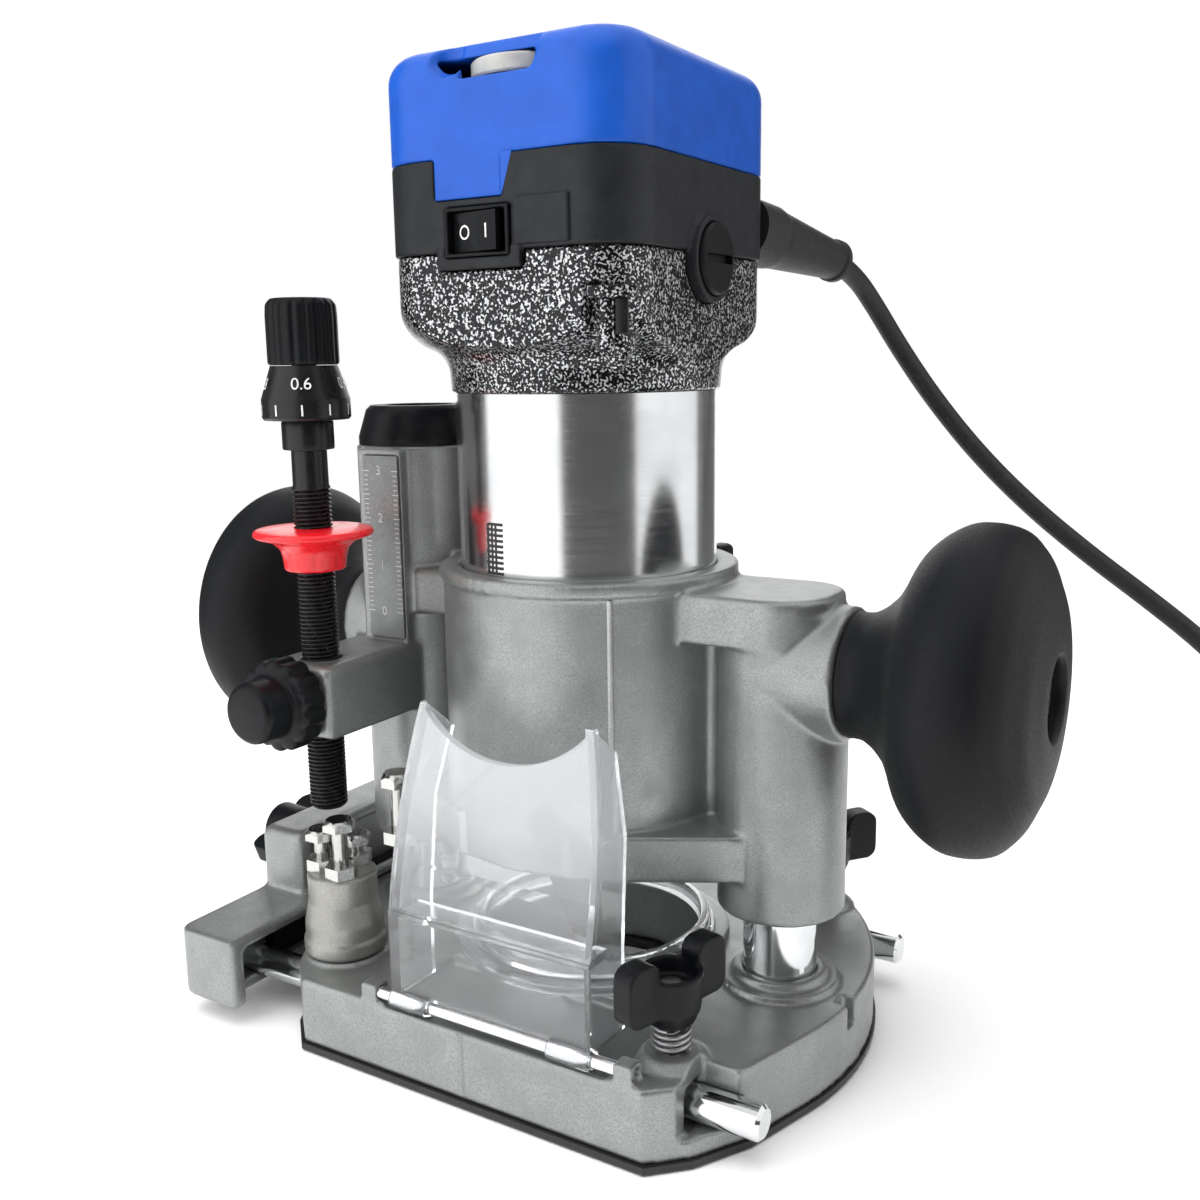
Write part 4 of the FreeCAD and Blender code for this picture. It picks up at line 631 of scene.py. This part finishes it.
def on_drum(centre, angle, radius, height, lean=0.0):
    """A placement on an upright drum, facing out at an angle, leaning back towards its top."""
    out = Vector((math.cos(angle), math.sin(angle), 0))
    right = Vector((-out.y, out.x, 0))
    up = (UP * math.cos(lean) - out * math.sin(lean)).normalized()
    return standing(Vector((centre[0], centre[1], height)) + out * radius, right, up)


class Marks:
    """Thin printed or moulded marks gathered into one piece."""

    def __init__(self):
        self.vertices, self.faces = [], []

    def add(self, mesh, place):
        first = len(self.vertices)
        self.vertices += [place @ vertex.co for vertex in mesh.vertices]
        self.faces += [[first + corner for corner in polygon.vertices] for polygon in mesh.polygons]

    def bar(self, place, width, height, x=0.0, y=0.0, lift=0.06):
        """A flat bar in a placement's own plane, sizes in millimetres."""
        first = len(self.vertices)
        for side, end in ((-1, -1), (1, -1), (1, 1), (-1, 1)):
            self.vertices.append(place @ mm(x + side * width / 2, y + end * height / 2, lift))
        self.faces.append([first, first + 1, first + 2, first + 3])

    def figure(self, place, text, size, lift=0.05):
        """A generic figure, drawn with the built-in font."""
        curve = bpy.data.curves.new("figure", "FONT")
        curve.body = text
        curve.size = size * MM
        curve.align_x = "CENTER"
        curve.align_y = "CENTER"
        shape = bpy.data.objects.new("figure", curve)
        SCENE.objects.link(shape)
        self.add(finished_mesh(shape), place @ Matrix.Translation((0, 0, lift * MM)))
        bpy.data.objects.remove(shape)

    def make(self, name, body, material):
        piece = add_object(name, mesh_from(name, self.vertices, self.faces), body, smooth=False)
        return wear(piece, material)


# ---------------------------------------------------------------- handles and knobs


def add_handles():
    """The two round knobs, smooth turned forms with a deep hole in the end."""
    for node, direction, sign in (("left_handle", "-x", -1), ("right_handle", "x", 1)):
        low, high = node_box(node)
        root = high.x if sign < 0 else low.x
        reach = high.x - low.x
        rim = (high.z - low.z) / 2
        neck = [(9.1, 0.1), (14.8, 0.1), (14.5, 2), (14.8, 4.5), (16.6, 7.6), (20.3, 11.5)]
        back = [(25.6, 14.7), (30.8, 17.3), (34.2, 21.1), (rim, 25.6), (rim, 31.1)]
        face = [(35.2, 35.9), (30.6, 39.9), (22.5, 43.3), (13.5, reach - 0.2)]
        hole = [(9.6, reach - 0.1), (8.8, reach - 1.2), (8.8, 34.7)]
        profile = eased(neck + back + face + hole, 2.2, 4)
        mesh = lathe(node + "_turned", profile, (root, 0, (low.z + high.z) / 2), direction, 128)
        piece = add_object(node + "_turned", mesh, "carriage")
        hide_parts(node)
        wear(autosmooth(piece, 50), GRIP)


def ribs(count, depth, first, last):
    """A ripple that cuts upright grip ribs between two rings of a profile."""
    def ripple(angle, number, radius, height):
        if not first <= number <= last:
            return 0
        return -depth * (0.5 + 0.5 * math.cos(count * angle)) ** 2
    return ripple


def dented(count, depth, sharpness, where):
    """A ripple of evenly spaced dents wherever a test of a point's radius and height holds."""
    def ripple(angle, number, radius, height):
        if not where(radius, height):
            return 0
        return -depth * (0.5 + 0.5 * math.cos(count * angle)) ** sharpness
    return ripple


def threaded(pitch, depth, low, high):
    """A ripple that cuts a screw thread between two heights."""
    def ripple(angle, number, radius, height):
        if not low < height < high:
            return 0
        return -depth * (0.5 - 0.5 * math.cos(math.tau * height / pitch - angle)) ** 1.5
    return ripple


def add_depth_rod():
    """The black rod: a cut thread, a plain neck and the collar under the dial."""
    low, high = node_box("depth_rod")
    place = node_centre("depth_rod")
    thread_radius = 4.8
    thread_pitch = 1.05
    thread_depth = 0.62
    rings = 560
    bottom, top = low.z + 0.9, 140.6
    point = [(0.4, low.z), (3.9, low.z), (4.4, low.z + 0.4)]
    thread = [(thread_radius, bottom + (top - bottom) * ring / rings) for ring in range(rings + 1)]
    neck = [(4.4, 141.4), (4.35, 149.9), (5.0, 150.0)]
    collar = [(6.2, 150.2), (6.3, 150.7), (6.3, 156.7), (6.1, 157.1)]
    spigot = [(3.0, 157.2), (3.0, high.z), (0.4, high.z)]
    mesh = lathe(
        "depth_rod_thread", point + thread + neck + collar + spigot, (place.x, place.y, 0), steps=40,
        ripple=threaded(thread_pitch, thread_depth, bottom, top),
    )
    piece = add_object("depth_rod_thread", mesh, "rod")
    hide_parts("depth_rod")
    wear(autosmooth(piece, 60), MATERIALS["black_metal"])


def add_adjust_knob():
    """The ribbed knob on top of the depth rod."""
    knob = node_centre("adjust_knob")
    low, high = node_box("adjust_knob")
    radius = (high.x - low.x) / 2
    profile = eased([
        (3.2, low.z), (radius - 0.5, low.z), (radius, low.z + 0.5), (radius, low.z + 2),
        (radius, high.z - 4), (radius - 0.2, high.z - 1.4), (radius - 1.4, high.z), (3.0, high.z),
    ], 0.5, 2)
    mesh = lathe("adjust_knob_ribbed", profile, (knob.x, knob.y, 0), steps=216, ripple=ribs(18, 0.4, 4, 15))
    piece = add_object("adjust_knob_ribbed", mesh, "fine_adjust")
    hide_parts("adjust_knob")
    wear(piece, MATERIALS["black_plastic"])


def add_flange_nut():
    """The red nut: a fluted hub that flares into a thin flange."""
    low, high = node_box("rod_flange")
    place = node_centre("rod_flange")
    base, top = low.z, high.z
    profile = eased([
        (4.9, base), (7.2, base), (7.7, base + 0.6), (7.9, base + 3), (8.5, base + 5.4), (10.4, base + 7.2),
        (14.5, base + 8.5), (14.9, base + 9.1), (14.5, top - 0.4), (9, top), (4.9, top),
    ], 0.5, 2)
    mesh = lathe(
        "rod_flange_turned", profile, (place.x, place.y, 0), steps=144,
        ripple=dented(8, 0.25, 6, lambda radius, height: height < base + 5 and radius > 6),
    )
    piece = add_object("rod_flange_turned", mesh, "flange")
    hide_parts("rod_flange")
    wear(autosmooth(piece, 40), MATERIALS["red"])


def block_at(name, place, size, body, slot, round_off=0.3):
    """A small block with eased edges, centred on a placement; size is in millimetres."""
    width, height, depth = (value / 2 for value in size)
    vertices = [
        place @ mm(side * width, end * height, face * depth)
        for face in (-1, 1) for side, end in ((-1, -1), (1, -1), (1, 1), (-1, 1))
    ]
    faces = [(3, 2, 1, 0), (4, 5, 6, 7), (0, 1, 5, 4), (1, 2, 6, 5), (2, 3, 7, 6), (3, 0, 4, 7)]
    raw = bpy.data.objects.new(name, mesh_from(name, vertices, faces))
    SCENE.objects.link(raw)
    bevel = raw.modifiers.new("bevel", "BEVEL")
    bevel.width = round_off * MM
    bevel.segments = 3
    mesh = finished_mesh(raw)
    bpy.data.objects.remove(raw)
    return wear(autosmooth(add_object(name, mesh, body), 60), MATERIALS[slot])


HOUSING_FRONT = -38.6
BOSS_ALONG = Vector((0.93, 0.37, 0)).normalized()


def add_switch_panel():
    """The stepped panel beside the switch."""
    place = standing((13.6, HOUSING_FRONT, 200.4), ACROSS, UP)
    block_at("band_panel", place, (14.0, 10.0, 1.6), "carriage", "band", 0.5)


def add_tab_flare():
    """The thin wedge that makes the right edge of the cover's tab slant."""
    corners = [(3.2, 214.9), (6.2, 214.9), (3.2, 205.9)]
    depths = (HOUSING_FRONT + 0.1, HOUSING_FRONT - 0.035)
    vertices = [mm(x, y, z) for y in depths for x, z in corners]
    faces = [(0, 1, 2), (5, 4, 3), (0, 3, 4, 1), (1, 4, 5, 2), (2, 5, 3, 0)]
    mesh = mesh_from("tab_flare", vertices, faces)
    flare = add_object("tab_flare", mesh, "carriage", smooth=False)
    wear(flare, MATERIALS["blue"])


def add_screw_boss():
    """The ledge and rib of the screw boss at the front right of the upper casting, and a near-black block
    beside the rib that is painted shade for the shadowed screw well.
    """
    for name, origin, size, slot, round_off in (
        ("boss_ledge", (28.9, -35.3, 184.9), (10.6, 2.6, 3.4), "hammer", 0.6),
        # Painted shade: a near-black block where the screw well lies in shadow.
        ("boss_shade_block", (30.5, -34.2, 179.8), (2.8, 7.6, 1.7), "black_metal", 0.3),
        ("boss_rib", (27.6, -35.4, 177.6), (3.2, 12.5, 2.6), "hammer", 0.8),
    ):
        block_at(name, standing(origin, BOSS_ALONG, UP), size, "carriage", slot, round_off)


DIAL_FRONT = math.radians(-51)
DIAL_RING_RADIUS = 10.7
DIAL_CONE_RADIUS = 9.6
DIAL_CONE_LEAN = math.atan2(2.6, 8.0)
DIAL_FRONT_FIGURE = 6


def add_dial_marks():
    """Ticks every tenth of a turn and five figures on the dial ring."""
    place = node_centre("dial_ring")
    base = node_box("dial_ring")[0].z
    marks = Marks()
    for step in range(10):
        angle = DIAL_FRONT + math.tau * step / 10
        marks.bar(on_drum(place, angle, DIAL_RING_RADIUS, base + 2.5), 0.42, 2.6)
        if step % 2 == 0:
            tenths = (DIAL_FRONT_FIGURE - step) % 10
            text = f"0.{tenths}" if tenths else "0"
            at = on_drum(place, angle, DIAL_CONE_RADIUS, base + 8.6, DIAL_CONE_LEAN)
            marks.figure(at, text, 4.1, 0.09)
    marks.make("dial_marks", "fine_adjust", WHITE_MARK)


def add_scale_marks():
    """The height scale on the depth scale's strip: ticks down both edges and a figure every tenth tick, pale
    as a painted highlight on the scale's cast marks.
    """
    low, high = node_box("depth_scale")
    place = standing(((low.x + high.x) / 2, low.y, low.z), ACROSS, UP)
    marks = Marks()
    edge = (high.x - low.x) / 2 - 0.9
    first_rise = 7
    pitch = 1.25
    for tick in range(31):
        length = 2.2 if tick % 5 == 0 else 1.3
        for side in (-edge, edge):
            marks.bar(place, length, 0.24, side, first_rise + tick * pitch)
    for number in range(4):
        at = place @ Matrix.Translation(mm(-0.6, first_rise + number * 10 * pitch, 0))
        marks.figure(at, str(number), 3.4)
    marks.make("scale_marks", "carriage", HIGHLIGHT_MARK)


def add_tube_marks():
    """The dark ladder of ticks low on the motor tube."""
    radius = 32.5
    middle = math.radians(-101.2)
    lowest_tick = 121.4
    ladder = Marks()
    for tick in range(10):
        at = on_drum((0, 0), middle, radius, lowest_tick + tick * 1.3)
        length, shift = (4.6, 0.4) if tick % 2 else (5.4, 0.0)
        ladder.bar(at, length, 0.66, shift)
    for side in (-105.2, -102.6, -100.4):
        ladder.bar(on_drum((0, 0), math.radians(side), radius, 127.2), 0.62, 12)
    ladder.make("tube_marks", "carriage", DARK_MARK)


def add_rocker_marks():
    """A ring and a bar, the usual off and on marks, on the two faces of the rocker."""
    marks = Marks()
    left = Vector((7.3, -1.4, 0)).normalized()
    right = Vector((6.3, -1.5, 0)).normalized()
    ring = standing((-7.2, -38.3, 198.8), left, UP)
    for step in range(24):
        turn = Matrix.Rotation(math.tau * step / 24, 4, "Z")
        marks.bar(ring @ turn, 0.5, 0.42, 0, 1.35)
    marks.bar(standing((-0.4, -39.74, 198.8), right, UP), 0.5, 3.0)
    marks.make("rocker_marks", "rocker", WHITE_MARK)


def add_clamp_knob():
    """The side knob of the depth rod: a scalloped disc and a smaller round cap."""
    place = node_centre("rod_clamp_knob")
    root = -50.5
    profile = eased([
        (2.9, -2.1), (2.9, 0.9), (10.9, 0.95), (11.6, 1.7), (11.6, 4), (11.6, 7.0), (10.8, 7.9), (8.4, 8.2),
        (7.7, 8.9), (7.6, 15.4), (6.4, 16.7), (0.5, 16.8),
    ], 0.6, 2)
    mesh = lathe(
        "rod_clamp_scalloped", profile, (place.x, root, place.z), "-y", 168,
        dented(14, 0.85, 2, lambda radius, height: radius > 10),
    )
    piece = add_object("rod_clamp_scalloped", mesh, "rod_clamp")
    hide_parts("rod_clamp_knob")
    wear(autosmooth(piece, 45), MATERIALS["black_plastic"])


def add_collar_line():
    """The mould line that runs down the collar: a low ridge, sunk into it at both sides, painted lighter
    than the casting as a painted highlight.
    """
    angle = math.radians(-51)
    half_width = math.radians(1.3)
    foot, crest = 37.0, 37.8
    vertices, faces = [], []
    for height in (51.0, 117.0):
        for side, reach in ((-1, foot), (-0.4, crest), (0.4, crest), (1, foot)):
            turn = angle + half_width * side
            vertices.append(mm(reach * math.cos(turn), reach * math.sin(turn), height))
    for side in range(3):
        faces.append((side, side + 1, side + 5, side + 4))
    piece = add_object("collar_line", mesh_from("collar_line", vertices, faces), "carriage")
    # Painted highlight: the ridge wears a lighter copy of the casting paint.
    wear(piece, HIGHLIGHT_CAST)


add_handles()
add_depth_rod()
add_adjust_knob()
add_flange_nut()
add_dial_marks()
add_scale_marks()
add_tube_marks()
add_rocker_marks()
add_clamp_knob()
add_collar_line()
add_switch_panel()
add_tab_flare()
add_screw_boss()


# ---------------------------------------------------------------- springs


def add_springs():
    """A copy of the plunge springs, standing between the base and the carriage."""
    spring = bpy.data.objects.new("plunge_springs_wire", welded_copy("plunge_springs"))
    SCENE.objects.link(spring)
    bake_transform(spring)
    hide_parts("plunge_springs")
    wear(spring, MATERIALS["spring"])


add_springs()


# ---------------------------------------------------------------- floor and light


def add_floor():
    """A plain pale floor under the sole."""
    reach = 6.0
    corners = [(-reach, -reach, 0), (reach, -reach, 0), (reach, reach, 0), (-reach, reach, 0)]
    mesh = mesh_from("floor", corners, [(0, 1, 2, 3)])
    floor = bpy.data.objects.new("floor", mesh)
    SCENE.objects.link(floor)
    floor.location.z = -0.05 * MM
    finish = Finish("floor", Base_Color=(0.93, 0.93, 0.93, 1), Roughness=0.8)
    mesh.materials.append(finish.material)


def ring_wall(name, profile, start, end, level):
    """A wall swept round the object between two angles from (radius, height) points, glowing evenly."""
    steps = 96
    vertices = [
        (reach * math.cos(start + (end - start) * step / steps),
         reach * math.sin(start + (end - start) * step / steps), height)
        for reach, height in profile for step in range(steps + 1)
    ]
    faces = [
        (row * (steps + 1) + step, row * (steps + 1) + step + 1,
         (row + 1) * (steps + 1) + step + 1, (row + 1) * (steps + 1) + step)
        for row in range(len(profile) - 1) for step in range(steps)
    ]
    mesh = mesh_from(name, vertices, faces)
    wall = bpy.data.objects.new(name, mesh)
    SCENE.objects.link(wall)
    finish = Finish(name, Base_Color=(0, 0, 0, 1), Emission_Color=(1, 1, 1, 1), Emission_Strength=level)
    finish.set(Specular_IOR_Level=0.0)
    mesh.materials.append(finish.material)
    wall.visible_diffuse = False
    wall.visible_shadow = False
    return wall


def add_backdrop():
    """A white sweep that rises from the floor far round the object.  It lights nothing."""
    wall = ring_wall("backdrop", [(1.0, 0.0008), (1.5, 0.004), (4.2, 0.3), (4.6, 3.4)], 0, math.tau, 1.0)
    wall.visible_glossy = False


# Each card is the degrees it starts and ends at, counted from the front, and its brightness.
CARD_FRONT = math.radians(-59)
CARDS = [
    (-92, -21, 1.5), (-21, 41, 0.1), (41, 108, 1.1),
    (108, 150, 0.14), (150, 210, 1.5), (210, 268, 0.14),
]


def add_cards():
    """White and grey cards round the object that only show as reflections in its bright metal."""
    profile = [(0.42, 0.001), (0.42, 0.6)]
    for number, (start, end, level) in enumerate(CARDS):
        first, last = CARD_FRONT + math.radians(start), CARD_FRONT + math.radians(end)
        card = ring_wall(f"card_{number}", profile, first, last, level)
        card.visible_camera = False
        card.visible_transmission = False


def add_light(name, place, aim, width, height, power):
    data = bpy.data.lights.new(name, "AREA")
    data.shape = "RECTANGLE"
    data.size = width
    data.size_y = height
    data.energy = power
    light = bpy.data.objects.new(name, data)
    SCENE.objects.link(light)
    light.location = place
    light.rotation_mode = "QUATERNION"
    light.rotation_quaternion = (Vector(place) - Vector(aim)).to_track_quat("Z", "Y")
    light.visible_camera = False
    light.visible_glossy = False


def add_studio():
    """Two tall softboxes, left and right of the front, one overhead, and a sky that is dim at its rim."""
    aim = (0, 0, 0.12)
    add_light("left_box", (-0.55, -0.78, 0.42), aim, 0.95, 1.0, 8.0)
    add_light("right_box", (0.97, 0.05, 0.42), aim, 0.95, 1.0, 1.2)
    add_light("top_box", (-0.1, -0.1, 1.25), aim, 1.3, 1.3, 14)
    world = bpy.data.worlds.new("studio")
    bpy.context.scene.world = world
    world.use_nodes = True
    tree = world.node_tree
    coords = tree.nodes.new("ShaderNodeTexCoord")
    split = tree.nodes.new("ShaderNodeSeparateXYZ")
    ramp = tree.nodes.new("ShaderNodeValToRGB")
    tree.links.new(coords.outputs["Generated"], split.inputs["Vector"])
    tree.links.new(split.outputs["Z"], ramp.inputs["Fac"])
    tree.links.new(ramp.outputs["Color"], tree.nodes["Background"].inputs["Color"])
    for element, position, level in zip(ramp.color_ramp.elements, (0.16, 0.6), (0.2, 0.9)):
        element.position = position
        element.color = (level, level, level, 1)
    tree.nodes["Background"].inputs["Strength"].default_value = 1.0
    bpy.context.scene.view_settings.view_transform = "Standard"


add_floor()
add_backdrop()
add_cards()
add_studio()
